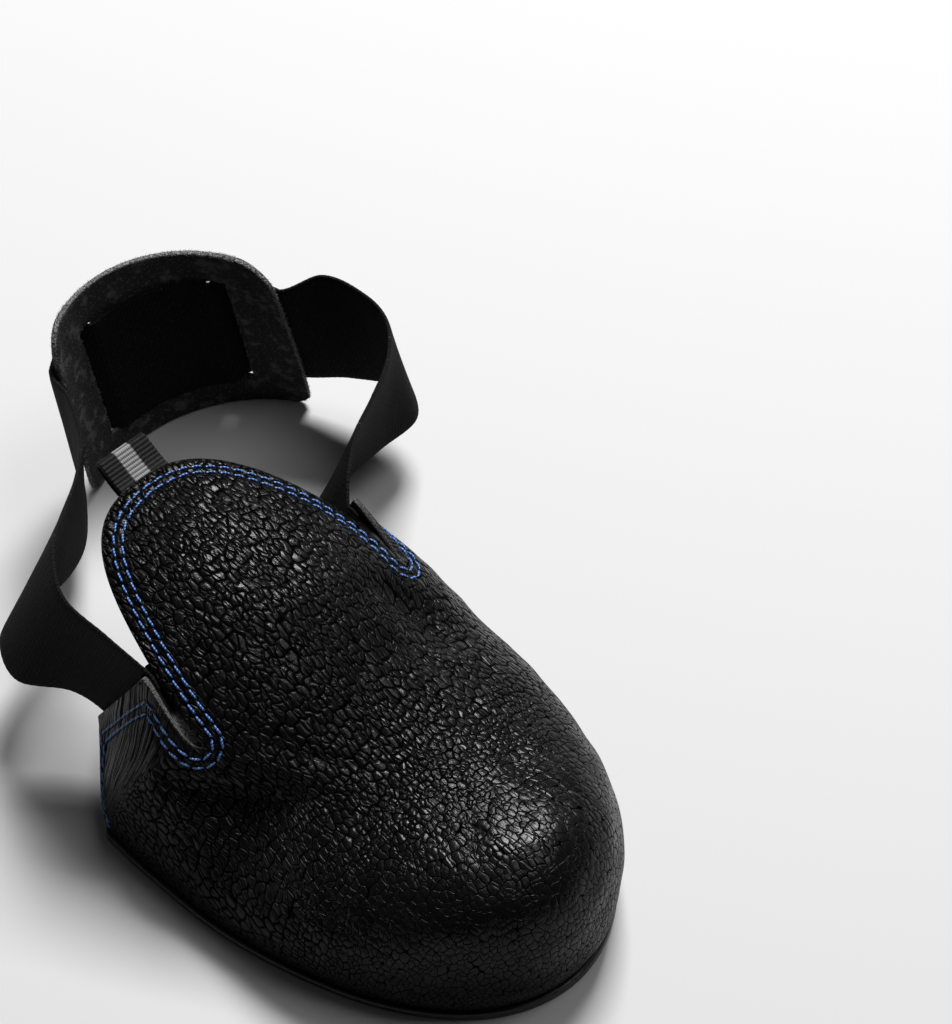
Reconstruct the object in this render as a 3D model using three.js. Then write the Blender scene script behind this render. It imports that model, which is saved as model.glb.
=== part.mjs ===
// Toe cap overshoe, one of a pair: a leather upper that covers the front of a shoe, open at
// the heel, on a flat rubber sole. An elastic band runs from wing to wing of the upper
// through two slots in a leather heel pad, and a webbing pull loop sits under the tongue tip.
// Millimetres, +Z up, toe towards -Y. Every surface is worked out in shoe coordinates:
// x across, y back from the toe tip, z up from the ground. The last lines centre the part.
import * as THREE from "three";

// ---- driving dimensions -------------------------------------------------------------
const TOE = { length: 92, plan: 2.03 };                // rounded toe in plan, a superellipse
const SOLE = { thickness: 2.6, proud: 1.2, back: 125.5, corner: 4 };
const SEAT_GAP = 0.3;                                  // clearance between pieces that touch
const LEATHER = 1.8;                                   // wall of the upper
const WAIST = 12;                                      // height where the side wall is widest
// How far the side wall leans in to the sole: at the toe, at the heel, and where it changes.
const TUCK = { toe: 2.5, heel: 0.5, from: 45, to: 100, curve: 1.5 };
const NOSE = { length: 26, power: 3 };                 // how fast the top rises behind the toe tip

// Cross sections of the upper: half width, ridge height and squareness at a distance back.
const SECTIONS = [
  { back: 0, half: 57.5, ridge: 45.5, square: 2.4 },
  { back: 20, half: 57.5, ridge: 47.0, square: 2.35 },
  { back: 42, half: 57.5, ridge: 46.0, square: 2.2 },
  { back: 62, half: 57.5, ridge: 47.5, square: 2.08 },
  { back: 80, half: 57.5, ridge: 52.5, square: 2.05 },
  { back: 95, half: 57.5, ridge: 59.5, square: 2.0 },
  { back: 112, half: 57.8, ridge: 66.5, square: 2.0 },
  { back: 135, half: 56.5, ridge: 70.5, square: 2.1 },
  { back: 170, half: 52.0, ridge: 70.0, square: 2.2 },
];
// Soft dents in the leather: side of the shoe, angle round the section, distance back.
const DENTS = [
  { side: -1, around: 64, back: 80, depth: 5.5, radius: 17 },
  { side: -1, around: 40, back: 62, depth: 1.6, radius: 16 },
  { side: 1, around: 42, back: 88, depth: 3.0, radius: 13 },
  { side: 1, around: 66, back: 84, depth: 1.6, radius: 17 },
];
// Notch on each side of the tongue: how far back it starts, and where its two edges lie in
// degrees round the section. The tongue sits a little askew, so the two sides differ.
const NOTCHES = {
  left: { back: 102, inner: 47.5, outer: 50 },
  right: { back: 108.5, inner: 44.5, outer: 47 },
};
const NOTCH_DEPTH = 1.6;                               // rounded foot of a notch
const TONGUE = { tip: 165.5, skew: 3.5, taper: 1.3, round: 2.8 };
const FOOT_ANGLE = 100;                                // degrees round the section at the sole
const WING_FOOT = 122;                                 // how far back the wall stays on the sole
// Rear edge of each wing, from its top corner to its bottom corner, and how the wing's top
// and bottom edges run out to it: stiffness at the start and end, and the way they leave.
const WINGS = {
  left: { top: [-41.5, 121.5, 57.5], bottom: [-41, 144.5, 19.2] },
  right: { top: [41, 126.5, 59], bottom: [41, 144.5, 19.2] },
};
const WING_TOP_EDGE = { start: 0.9, end: 0.6, out: 0, back: 1, up: 0.15 };
const WING_LOW_EDGE = { start: 0.7, end: 0.9, out: -0.5, back: 0.75, up: 0.42 };

// The band starts under each wing, tuck of the way along it, and lies clear of the leather.
const BAND = { width: 44, thickness: 1.3, tuck: 0.76, held: 0.88, clear: 0.8, share: 0.48 };
const PAD = { half: 40.3, height: 66, thickness: 2.2, foot: 0.4, topCorner: 10, footCorner: 5 };
// The pad is a bent sheet: a wide arc at its foot and a tighter one, leaning back, at its top.
const PAD_FOOT = { x: 46, y: 176, radius: 50, turn: 14.4 };
const PAD_TOP = { x: 39.2, y: 196.8, radius: 36.2, turn: 19.3 };
const SLOT = { inner: 18.5, outer: 25, low: 9.5, high: 55.5, margin: 0.3 };
const BAND_ON_PAD = { low: 10.5, high: 54.5, gap: 0.45 };
// Where the band runs free between a wing and the pad: its top edge and its bottom edge.
const BAND_LEFT = [
  { x: -41.0, y: 135.3, z: 62.8, footX: -41.4, footY: 153.7, footZ: 22.9 },
  { x: -42.0, y: 151.3, z: 66.3, footX: -51.0, footY: 165.5, footZ: 25.6 },
  { x: -33.4, y: 165.3, z: 67.3, footX: -45.9, footY: 178.2, footZ: 27.1 },
  { x: -21.6, y: 175.1, z: 64.1, footX: -33.3, footY: 184.4, footZ: 22.7 },
  { x: -9.1, y: 185.0, z: 60.8, footX: -17.8, footY: 187.7, footZ: 17.7 },
  { x: 2.0, y: 196.8, z: 58.1, footX: -2.9, footY: 195.5, footZ: 14.5 },
  { x: 9.7, y: 211.7, z: 57.2, footX: 9.4, footY: 209.3, footZ: 13.1 },
];
const BAND_RIGHT = [
  { x: 43.8, y: 133.0, z: 61.3, footX: 38.7, footY: 150.8, footZ: 21.2 },
  { x: 55.2, y: 141.9, z: 62.2, footX: 52.0, footY: 155.7, footZ: 20.6 },
  { x: 67.8, y: 148.5, z: 62.0, footX: 65.7, footY: 159.1, footZ: 19.3 },
  { x: 80.4, y: 155.9, z: 62.1, footX: 81.0, footY: 161.1, footZ: 18.4 },
  { x: 90.0, y: 166.7, z: 61.8, footX: 96.4, footY: 162.2, footZ: 18.5 },
  { x: 93.4, y: 179.2, z: 60.1, footX: 102.8, footY: 173.2, footZ: 17.8 },
  { x: 90.8, y: 194.3, z: 58.7, footX: 96.3, footY: 189.8, footZ: 14.8 },
];
// Pull loop: webbing folded double, as far out of the tongue tip as it shows, rising in degrees.
const LOOP = { width: 16, thickness: 1.2, gap: 0.9, visible: 12.5, tucked: 10, knee: 1 };
const LOOP_BEND = { rise: 30, quick: 1.6, sag: 1.1, shift: 3.7 };

// ---- small helpers ------------------------------------------------------------------
const radians = THREE.MathUtils.degToRad;
const lerp = THREE.MathUtils.lerp;
const vec = (x, y, z) => new THREE.Vector3(x, y, z);
const TINY = 1e-6;
const PROBE = 0.02;                                    // step for slopes found by difference

// Cubic Hermite step between two values with their slopes.
function hermite(a, slopeA, b, slopeB, t) {
  const t2 = t * t;
  const t3 = t2 * t;
  return a * (2 * t3 - 3 * t2 + 1) + slopeA * (t3 - 2 * t2 + t)
    + b * (3 * t2 - 2 * t3) + slopeB * (t3 - t2);
}

// Smooth curve through knots (at[i], value[i]), held flat beyond the ends.
function smooth(at, value, x) {
  const last = at.length - 1;
  const clamped = Math.min(Math.max(x, at[0]), at[last]);
  let i = 0;
  while (i < last - 1 && clamped > at[i + 1]) i += 1;
  const slope = (k) => {
    const a = Math.max(k - 1, 0);
    const b = Math.min(k + 1, last);
    return (value[b] - value[a]) / (at[b] - at[a]);
  };
  const step = at[i + 1] - at[i];
  return hermite(value[i], slope(i) * step, value[i + 1], slope(i + 1) * step, (clamped - at[i]) / step);
}
const STATIONS = SECTIONS.map((row) => row.back);
const section = (name, back) => smooth(STATIONS, SECTIONS.map((row) => row[name]), back);

// An open sheet being built: shared points and faces that turn counter-clockwise outside.
class Sheet {
  constructor() {
    this.points = [];
    this.faces = [];
  }

  point(p) {
    this.points.push(p);
    return this.points.length - 1;
  }

  // One patch of quads between rows of point numbers; a repeated number makes a triangle.
  rows(grid) {
    for (let i = 0; i + 1 < grid.length; i += 1) {
      for (let j = 0; j + 1 < grid[i].length; j += 1) {
        const ring = [grid[i][j], grid[i][j + 1], grid[i + 1][j + 1], grid[i + 1][j]];
        this.face(ring.filter((id, k) => id !== ring[(k + 1) % 4]));
      }
    }
  }

  face(ring) {
    if (ring.length > 2) this.faces.push(ring);
  }

  normals() {
    const out = this.points.map(() => vec(0, 0, 0));
    for (const ring of this.faces) {
      const [a, b, c] = ring.map((id) => this.points[id]);
      const d = this.points[ring[ring.length - 1]];
      const normal = c.clone().sub(a).cross(d.clone().sub(b));
      for (const id of ring) out[id].add(normal);
    }
    return out.map((n) => n.normalize());
  }

  // Closed wall: the sheet pushed out by one distance and in by another, with a rim
  // along every free edge.
  wall(outward, inward) {
    const normals = this.normals();
    const count = this.points.length;
    const corners = [];
    for (const distance of [outward, -inward]) {
      this.points.forEach((p, i) => corners.push(p.clone().addScaledVector(normals[i], distance)));
    }
    const triangles = [];
    const add = (a, b, c) => triangles.push(a, b, c);
    const edges = new Map();
    for (const ring of this.faces) {
      for (let k = 1; k + 1 < ring.length; k += 1) {
        add(ring[0], ring[k], ring[k + 1]);
        add(count + ring[0], count + ring[k + 1], count + ring[k]);
      }
      ring.forEach((a, k) => {
        const b = ring[(k + 1) % ring.length];
        edges.set(`${a},${b}`, [a, b]);
      });
    }
    for (const [a, b] of edges.values()) {
      if (edges.has(`${b},${a}`)) continue;
      add(b, a, count + a);
      add(b, count + a, count + b);
    }
    const geometry = new THREE.BufferGeometry();
    const position = corners.flatMap((p) => p.toArray());
    geometry.setAttribute("position", new THREE.Float32BufferAttribute(position, 3));
    geometry.setIndex(triangles);
    return geometry;
  }
}

// ---- upper --------------------------------------------------------------------------
// Half width in plan: the toe's superellipse times the section table.
function halfWidth(back) {
  const s = Math.max(0, (TOE.length - back) / TOE.length);
  return section("half", back) * (1 - s ** TOE.plan) ** (1 / TOE.plan);
}

function ridgeRise(back) {
  const s = Math.max(0, (NOSE.length - back) / NOSE.length);
  return (section("ridge", back) - WAIST) * (1 - s ** NOSE.power) ** (1 / NOSE.power);
}

// Above the waist: the section's superellipse in polar form, angle from the ridge.
function dome(around, back) {
  const n = section("square", back);
  const half = Math.max(halfWidth(back), TINY);
  const rise = Math.max(ridgeRise(back), TINY);
  const sin = Math.sin(radians(around));
  const cos = Math.max(0, Math.cos(radians(around)));
  const reach = ((sin / half) ** n + (cos / rise) ** n) ** (-1 / n);
  return vec(reach * sin, back, WAIST + reach * cos);
}

// Below the waist: the wall leans in square to the plan outline, down to the sole.
function sideWall(around, back) {
  const q = (around - 90) / (FOOT_ANGLE - 90);
  const low = SOLE.thickness + SEAT_GAP;
  const before = Math.max(0, back - PROBE);
  const slope = halfWidth(back + PROBE) - halfWidth(before);
  const run = back + PROBE - before;
  const inward = vec(-run, slope, 0).normalize();
  const lean = lerp(TUCK.toe, TUCK.heel, THREE.MathUtils.smoothstep(back, TUCK.from, TUCK.to));
  return vec(halfWidth(back), back, lerp(WAIST, low, q)).addScaledVector(inward, lean * q ** TUCK.curve);
}

const smoothUpper = (around, back) => (around <= 90 ? dome(around, back) : sideWall(around, back));

const dentCentres = DENTS.map((d) => smoothUpper(d.around, d.back).multiply(vec(d.side, 1, 1)));

// Push a point towards the middle of its section by each dent's bell curve.
function dented(p) {
  const inward = vec(0, p.y, WAIST).sub(p).normalize();
  const out = p.clone();
  DENTS.forEach((d, i) => {
    const bell = Math.exp(-p.distanceToSquared(dentCentres[i]) / d.radius ** 2);
    out.addScaledVector(inward, d.depth * bell);
  });
  return out;
}

const upperPoint = (side, around, back) => dented(smoothUpper(around, back).multiply(vec(side, 1, 1)));

const sideName = (side) => (side < 0 ? "left" : "right");

// The toe patch ends on a line that slants from notch to notch and runs back to each foot.
function seamBack(side, around) {
  const { left, right } = NOTCHES;
  const middle = (left.back + right.back) / 2;
  const notch = NOTCHES[sideName(side)];
  if (around <= notch.outer) return lerp(middle, notch.back, Math.min(1, around / notch.inner));
  return lerp(notch.back, WING_FOOT, (around - notch.outer) / (FOOT_ANGLE - notch.outer));
}

// The same line scooped out in a half round at the foot of each notch.
function patchEnd(side, around) {
  const { inner, outer } = NOTCHES[sideName(side)];
  const s = (2 * around - inner - outer) / (outer - inner);
  return seamBack(side, around) - (Math.abs(s) < 1 ? NOTCH_DEPTH * Math.sqrt(1 - s * s) : 0);
}

// Tongue: the section's top over an outline that narrows to a round tip.
function tonguePoint(side, around, along) {
  const back = lerp(seamBack(side, around), TONGUE.tip, along);
  const narrow = (1 - along ** TONGUE.taper) ** (1 / TONGUE.round);
  const x = side * dome(around, seamBack(side, around)).x * narrow - TONGUE.skew * along ** 2;
  const n = section("square", back);
  const z = WAIST + ridgeRise(back) * (1 - Math.abs(x / halfWidth(back)) ** n) ** (1 / n);
  return dented(vec(x, back, z));
}

// Wing: Hermite curves from the toe patch's back line to the wing's rear edge.
function wingPoint(side, around, along) {
  const { outer } = NOTCHES[sideName(side)];
  const wing = WINGS[sideName(side)];
  const down = (around - outer) / (FOOT_ANGLE - outer);
  const back = seamBack(side, around);
  const start = upperPoint(side, around, back);
  const rear = vec(...wing.top).lerp(vec(...wing.bottom), down);
  const length = start.distanceTo(rear);
  const edge = (name) => lerp(WING_TOP_EDGE[name], WING_LOW_EDGE[name], down);
  const first = start.clone().sub(upperPoint(side, around, back - 1));
  first.setLength(length * edge("start"));
  const last = vec(side * edge("out"), edge("back"), edge("up"));
  last.setLength(length * edge("end"));
  const axis = (k) => hermite(start[k], first[k], rear[k], last[k], along);
  return vec(axis("x"), axis("y"), axis("z"));
}

function steps(from, to, count) {
  return Array.from({ length: count }, (_, i) => lerp(from, to, (i + 1) / count));
}

// Columns of the upper's grid, as a side and an angle from the ridge.
const GRID = { tongue: 7, notch: 4, wing: 7, wall: 3, toeRows: 13, tongueRows: 11, wingRows: 7 };
function sideColumns(side) {
  const { inner, outer } = NOTCHES[sideName(side)];
  return [
    ...steps(0, inner, GRID.tongue),
    ...steps(inner, outer, GRID.notch),
    ...steps(outer, 90, GRID.wing),
    ...steps(90, FOOT_ANGLE, GRID.wall),
  ].map((around) => ({ side, around }));
}
const COLUMNS = [...sideColumns(-1).toReversed(), { side: 1, around: 0 }, ...sideColumns(1)];

function upper() {
  const sheet = new Sheet();
  // The toe tip is one point at the waist, with the low wall's points below it.
  const tipPoints = new Map();
  const tipPoint = (around) => {
    const key = Math.max(90, around);
    if (!tipPoints.has(key)) tipPoints.set(key, sheet.point(upperPoint(1, key, 0)));
    return tipPoints.get(key);
  };
  const toe = [COLUMNS.map((c) => tipPoint(c.around))];
  for (let i = 1; i <= GRID.toeRows; i += 1) {
    const share = 1 - Math.cos((Math.PI / 2) * (i / GRID.toeRows));
    const at = (c) => upperPoint(c.side, c.around, patchEnd(c.side, c.around) * share);
    toe.push(COLUMNS.map((c) => sheet.point(at(c))));
  }
  sheet.rows(toe);

  const seam = COLUMNS.map((column, j) => ({ ...column, start: toe[GRID.toeRows][j] }));
  const tongueColumns = seam.filter((c) => c.around <= NOTCHES[sideName(c.side)].inner);
  const tongue = [tongueColumns.map((c) => c.start)];
  for (let i = 1; i < GRID.tongueRows; i += 1) {
    const along = Math.sin((Math.PI / 2) * (i / GRID.tongueRows));
    tongue.push(tongueColumns.map((c) => sheet.point(tonguePoint(c.side, c.around, along))));
  }
  const tip = sheet.point(tonguePoint(1, 0, 1));
  tongue.push(tongueColumns.map(() => tip));
  sheet.rows(tongue);

  for (const side of [-1, 1]) {
    const { outer } = NOTCHES[sideName(side)];
    const wingColumns = seam.filter((c) => c.side === side && c.around >= outer);
    const wing = [wingColumns.map((c) => c.start)];
    for (let i = 1; i <= GRID.wingRows; i += 1) {
      const along = i / GRID.wingRows;
      wing.push(wingColumns.map((c) => sheet.point(wingPoint(side, c.around, along))));
    }
    sheet.rows(wing);
  }
  return sheet.wall(0, LEATHER);
}

// ---- sole ---------------------------------------------------------------------------
// Flat plate: the foot of the side wall, a little proud, cut off square behind.
const SOLE_GRID = { side: 26, corner: 4 };
function sole() {
  const half = [];
  for (let i = 0; i <= SOLE_GRID.side; i += 1) {
    const share = 1 - Math.cos((Math.PI / 2) * (i / SOLE_GRID.side));
    const back = (SOLE.back - SOLE.corner) * share;
    const foot = sideWall(FOOT_ANGLE, back);
    const ahead = sideWall(FOOT_ANGLE, back + PROBE);
    const outward = vec(ahead.y - foot.y, foot.x - ahead.x, 0).normalize();
    if (i === 0) outward.set(0, -1, 0);
    const p = foot.addScaledVector(outward, SOLE.proud);
    half.push(new THREE.Vector2(i === 0 ? 0 : p.x, p.y));
  }
  const corner = half[SOLE_GRID.side];
  for (let i = 1; i <= SOLE_GRID.corner; i += 1) {
    const a = (Math.PI / 2) * (i / SOLE_GRID.corner);
    const inset = new THREE.Vector2(Math.cos(a) - 1, Math.sin(a)).multiplyScalar(SOLE.corner);
    half.push(corner.clone().add(inset));
  }
  const mirrored = half.slice(1).reverse().map((p) => new THREE.Vector2(-p.x, p.y));
  const outline = new THREE.Shape([...half, ...mirrored]);
  return new THREE.ExtrudeGeometry(outline, { depth: SOLE.thickness, bevelEnabled: false });
}

// ---- heel pad -----------------------------------------------------------------------
// Point of the pad's middle sheet: distance along it from its middle, height, distance out.
function padPoint(along, height, out) {
  const v = height / PAD.height;
  const radius = lerp(PAD_FOOT.radius, PAD_TOP.radius, v);
  const angle = radians(lerp(PAD_FOOT.turn, PAD_TOP.turn, v)) + along / radius;
  const x = lerp(PAD_FOOT.x, PAD_TOP.x, v) + Math.sin(angle) * (radius + out);
  const y = lerp(PAD_FOOT.y, PAD_TOP.y, v) + Math.cos(angle) * (radius + out);
  return vec(x, y, height + PAD.foot);
}

// Half length of the pad at a height, with round corners above and below.
function padReach(height) {
  const round = (depth, r) => (depth >= r ? 0 : r - Math.sqrt(r * r - (r - depth) ** 2));
  return PAD.half - round(PAD.height - height, PAD.topCorner) - round(height, PAD.footCorner);
}

// Pad grid: columns up to, across and beyond a slot, rows beside it, and where the rows that
// round the corners lie, as shares of each corner.
const PAD_GRID = { middle: 6, slot: 2, end: 4, beside: 8 };
const PAD_ROUNDING = { foot: [0, 0.12, 0.45, 1], top: [0.3, 0.65, 0.9, 1] };
function heelPad() {
  const half = [
    ...steps(0, SLOT.inner, PAD_GRID.middle),
    ...steps(SLOT.inner, SLOT.outer, PAD_GRID.slot),
    ...steps(SLOT.outer, PAD.half, PAD_GRID.end),
  ];
  const across = [...half.toReversed().map((s) => -s), 0, ...half];
  const heights = [
    ...PAD_ROUNDING.foot.map((f) => f * PAD.footCorner),
    ...steps(PAD.footCorner, SLOT.low, 1),
    ...steps(SLOT.low, SLOT.high, PAD_GRID.beside),
    ...PAD_ROUNDING.top.map((f) => lerp(SLOT.high, PAD.height, f)),
  ];
  const sheet = new Sheet();
  const grid = heights.map((z) => across.map((s) => {
    const outer = Math.max(0, (Math.abs(s) - SLOT.outer) / (PAD.half - SLOT.outer));
    const along = Math.sign(s) * (Math.abs(s) - outer * (PAD.half - padReach(z)));
    return sheet.point(padPoint(along, z, 0));
  }));
  for (let i = 0; i + 1 < heights.length; i += 1) {
    for (let j = 0; j + 1 < across.length; j += 1) {
      const z = (heights[i] + heights[i + 1]) / 2;
      const s = Math.abs(across[j] + across[j + 1]) / 2;
      const open = z > SLOT.low && z < SLOT.high && s > SLOT.inner && s < SLOT.outer;
      const ring = [grid[i][j + 1], grid[i][j], grid[i + 1][j], grid[i + 1][j + 1]];
      if (!open) sheet.face(ring);
    }
  }
  return sheet.wall(PAD.thickness / 2, PAD.thickness / 2);
}

// ---- heel band ----------------------------------------------------------------------
// Every station of the band is three points: its top edge, its middle and its bottom edge.
const BAND_OUT = PAD.thickness / 2 + BAND_ON_PAD.gap + BAND.thickness / 2;

// Outside the pad beyond the slots, inside it between them.
function bandOnPad(along) {
  const { inner, outer, margin } = SLOT;
  const t = THREE.MathUtils.smoothstep(Math.abs(along), inner + margin, outer - margin);
  const out = lerp(-BAND_OUT, BAND_OUT, t);
  const height = (f) => lerp(BAND_ON_PAD.high, BAND_ON_PAD.low, f);
  return [0, 0.5, 1].map((f) => padPoint(along, height(f), out));
}

// Under the wing: just inside the leather, midway between the wing's two long edges.
function bandUnderWing(side, along) {
  const { outer } = NOTCHES[sideName(side)];
  const wing = (down, on) => wingPoint(side, lerp(outer, FOOT_ANGLE, down), on);
  const span = wing(0, along).distanceTo(wing(1, along));
  const share = Math.min(BAND.share, BAND.width / span / 2);
  const depth = LEATHER + BAND.clear + BAND.thickness / 2;
  return [0.5 - share, 0.5, 0.5 + share].map((down) => {
    const p = wing(down, along);
    const lower = wing(Math.min(1, down + PROBE), along);
    const across = lower.sub(wing(Math.max(0, down - PROBE), along));
    const forward = p.clone().sub(wing(down, along - PROBE));
    return p.addScaledVector(across.cross(forward).normalize(), -side * depth);
  });
}

// Smooth route through stations, at equal steps of the distance between them.
function route(stations, first, last, count) {
  const at = [0];
  for (let i = 1; i < stations.length; i += 1) {
    at.push(at[i - 1] + stations[i][1].distanceTo(stations[i - 1][1]));
  }
  const axisAt = (k, axis, x) => smooth(at, stations.map((s) => s[k][axis]), x);
  const line = (k, x) => vec(axisAt(k, "x", x), axisAt(k, "y", x), axisAt(k, "z", x));
  return Array.from({ length: count }, (_, i) => {
    const x = lerp(at[first], at[last], i / (count - 1));
    return [0, 1, 2].map((k) => line(k, x));
  });
}

function freeBand(side, table, count) {
  const rows = table.map((r) => {
    const top = vec(r.x, r.y, r.z);
    const foot = vec(r.footX, r.footY, r.footZ);
    return [top, top.clone().lerp(foot, 0.5), foot];
  });
  const stations = [
    bandUnderWing(side, BAND.tuck),
    bandUnderWing(side, BAND.held),
    bandUnderWing(side, 1),
    ...rows,
    bandOnPad(side * PAD.half),
    bandOnPad(side * SLOT.outer),
  ];
  return route(stations, 0, stations.length - 2, count);
}

const BAND_GRID = { left: 40, right: 38, middle: 9, slot: 7, end: 4 };
function heelBand() {
  const left = freeBand(-1, BAND_LEFT, BAND_GRID.left);
  const right = freeBand(1, BAND_RIGHT, BAND_GRID.right).toReversed();
  const half = [
    ...steps(0, SLOT.inner, BAND_GRID.middle),
    ...steps(SLOT.inner, SLOT.outer, BAND_GRID.slot),
    ...steps(SLOT.outer, PAD.half, BAND_GRID.end),
  ];
  half.pop();
  const onPad = [...half.toReversed().map((s) => -s), 0, ...half].map((s) => bandOnPad(s));
  const sheet = new Sheet();
  sheet.rows([...left, ...onPad, ...right].map((station) => station.map((p) => sheet.point(p))));
  return sheet.wall(BAND.thickness / 2, BAND.thickness / 2);
}

// ---- pull loop ----------------------------------------------------------------------
// Webbing folded double: out from under the tongue tip, round, and back underneath.
const LOOP_GRID = { tucked: 4, visible: 6, turn: 6 };
function pullLoop() {
  const rise = radians(LOOP_BEND.rise);
  const drop = LEATHER + SEAT_GAP + LOOP.thickness / 2 + LOOP_BEND.sag;
  const seam = seamBack(1, 0);
  const layer = (LOOP.thickness + LOOP.gap) / 2;
  const middle = [];
  for (let i = 0; i <= LOOP_GRID.tucked; i += 1) {
    const y = TONGUE.tip - lerp(LOOP.tucked, LOOP.knee, i / LOOP_GRID.tucked);
    const leather = tonguePoint(1, 0, (y - seam) / (TONGUE.tip - seam));
    middle.push({ y, z: leather.z - drop - layer, tilt: 0 });
  }
  const step = LOOP.visible / LOOP_GRID.visible;
  for (let i = 1; i <= LOOP_GRID.visible; i += 1) {
    const tilt = rise * Math.min(1, (i / LOOP_GRID.visible) * LOOP_BEND.quick);
    const { y, z } = middle[middle.length - 1];
    middle.push({ y: y + step * Math.cos(tilt), z: z + step * Math.sin(tilt), tilt });
  }
  const offset = (m, d) => vec(0, m.y - d * Math.sin(m.tilt), m.z + d * Math.cos(m.tilt));
  const path = middle.map((m) => offset(m, layer));
  const end = middle[middle.length - 1];
  for (let i = 1; i < LOOP_GRID.turn; i += 1) {
    const a = end.tilt + Math.PI / 2 - (Math.PI * i) / LOOP_GRID.turn;
    path.push(vec(0, end.y + layer * Math.cos(a), end.z + layer * Math.sin(a)));
  }
  path.push(...middle.toReversed().map((m) => offset(m, -layer)));
  const sheet = new Sheet();
  const centre = LOOP_BEND.shift - TONGUE.skew;
  const across = [-1, 0, 1].map((s) => (s * LOOP.width) / 2 + centre);
  sheet.rows(path.map((p) => across.map((x) => sheet.point(p.clone().setX(x)))));
  return sheet.wall(LOOP.thickness / 2, LOOP.thickness / 2);
}

// ---- assembly -----------------------------------------------------------------------
const leather = new THREE.MeshStandardMaterial({ color: 0x0d0d0e, roughness: 0.42, metalness: 0 });
const suede = new THREE.MeshStandardMaterial({ color: 0x1c1c1d, roughness: 0.85, metalness: 0 });
const rubber = new THREE.MeshStandardMaterial({ color: 0x121213, roughness: 0.5, metalness: 0 });
const elastic = new THREE.MeshStandardMaterial({ color: 0x0b0b0c, roughness: 0.9, metalness: 0 });
const webbing = new THREE.MeshStandardMaterial({ color: 0x8a8a8a, roughness: 0.8, metalness: 0 });

const pieces = [
  ["upper", upper(), leather],
  ["sole", sole(), rubber],
  ["heel_pad", heelPad(), suede],
  ["heel_band", heelBand(), elastic],
  ["pull_loop", pullLoop(), webbing],
];

const overshoe = new THREE.Group();
for (const [name, geometry, material] of pieces) {
  const mesh = new THREE.Mesh(geometry, material);
  mesh.name = name;
  overshoe.add(mesh);
}
// The origin is the middle of the part's footprint, on the ground.
const box = new THREE.Box3().setFromObject(overshoe);
const centre = box.getCenter(vec(0, 0, 0));
overshoe.position.set(-centre.x, -centre.y, -box.min.z);

export default overshoe;
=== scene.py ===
"""Toe cap overshoe: leather upper, stitching, rubber sole, heel pad, elastic heel band and pull
loop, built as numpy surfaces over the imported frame.

Shapes are worked out in millimetres in shoe coordinates: x across, y back from the toe tip, z up
from the ground. The last step of every piece moves it to the frame's origin and to metres.
"""

import bpy
import numpy as np
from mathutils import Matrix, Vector


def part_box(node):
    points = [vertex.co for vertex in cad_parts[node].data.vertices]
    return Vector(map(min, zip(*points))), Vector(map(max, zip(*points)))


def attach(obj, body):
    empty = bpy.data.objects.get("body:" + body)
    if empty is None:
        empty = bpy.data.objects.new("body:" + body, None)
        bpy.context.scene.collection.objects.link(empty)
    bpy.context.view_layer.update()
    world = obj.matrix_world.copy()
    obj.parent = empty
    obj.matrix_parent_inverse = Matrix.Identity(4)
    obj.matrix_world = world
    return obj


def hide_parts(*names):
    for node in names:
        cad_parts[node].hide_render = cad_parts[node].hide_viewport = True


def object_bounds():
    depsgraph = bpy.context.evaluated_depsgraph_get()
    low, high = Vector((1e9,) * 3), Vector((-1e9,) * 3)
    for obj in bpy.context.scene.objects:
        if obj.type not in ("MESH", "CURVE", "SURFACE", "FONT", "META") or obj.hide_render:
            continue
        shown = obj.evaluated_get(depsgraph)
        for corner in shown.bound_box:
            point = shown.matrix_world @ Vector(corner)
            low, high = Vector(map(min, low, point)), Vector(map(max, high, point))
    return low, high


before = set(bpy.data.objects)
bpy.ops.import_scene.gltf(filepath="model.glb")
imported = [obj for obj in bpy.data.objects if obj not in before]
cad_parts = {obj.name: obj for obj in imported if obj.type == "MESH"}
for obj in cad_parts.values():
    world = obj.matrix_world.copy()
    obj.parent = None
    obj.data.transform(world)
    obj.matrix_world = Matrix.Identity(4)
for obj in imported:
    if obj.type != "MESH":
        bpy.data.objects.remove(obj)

CAD_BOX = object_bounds()

bl_info = {
    "name": "Toe Cap Overshoe",
    "version": (1, 0, 0),
    "blender": (4, 5, 0),
    "location": "3D View > Sidebar > Overshoe",
    "description": "Builds a leather toe cap overshoe with its stitching, sole, heel pad and band",
    "category": "Object",
}

# ---- sizes of the fixed frame, in millimetres ---------------------------------------------
TOE_LENGTH, TOE_PLAN = 92.0, 2.03
SOLE_THICKNESS, SOLE_PROUD, SOLE_BACK, SOLE_CORNER = 2.6, 1.2, 125.5, 4.0
SEAT_GAP = 0.3
LEATHER = 1.8
WAIST = 12.0
TUCK_TOE, TUCK_HEEL, TUCK_FROM, TUCK_TO, TUCK_CURVE = 2.5, 0.5, 45.0, 100.0, 1.5
NOSE_LENGTH, NOSE_POWER = 26.0, 3.0
SECTION_BACK = np.array([0, 20, 42, 62, 80, 95, 112, 135, 170.0])
SECTION_HALF = np.array([57.5, 57.5, 57.5, 57.5, 57.5, 57.5, 57.8, 56.5, 52.0])
SECTION_RIDGE = np.array([45.5, 47, 46, 47.5, 52.5, 59.5, 66.5, 70.5, 70.0])
SECTION_SQUARE = np.array([2.4, 2.35, 2.2, 2.08, 2.05, 2.0, 2.0, 2.1, 2.2])
# Dents in the leather: side, degrees round the section, distance back, depth, radius.
DENTS = ((-1, 64, 80, 7.0, 16), (-1, 40, 62, 2.0, 15), (1, 42, 88, 4.0, 12), (1, 66, 84, 1.6, 17))
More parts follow.
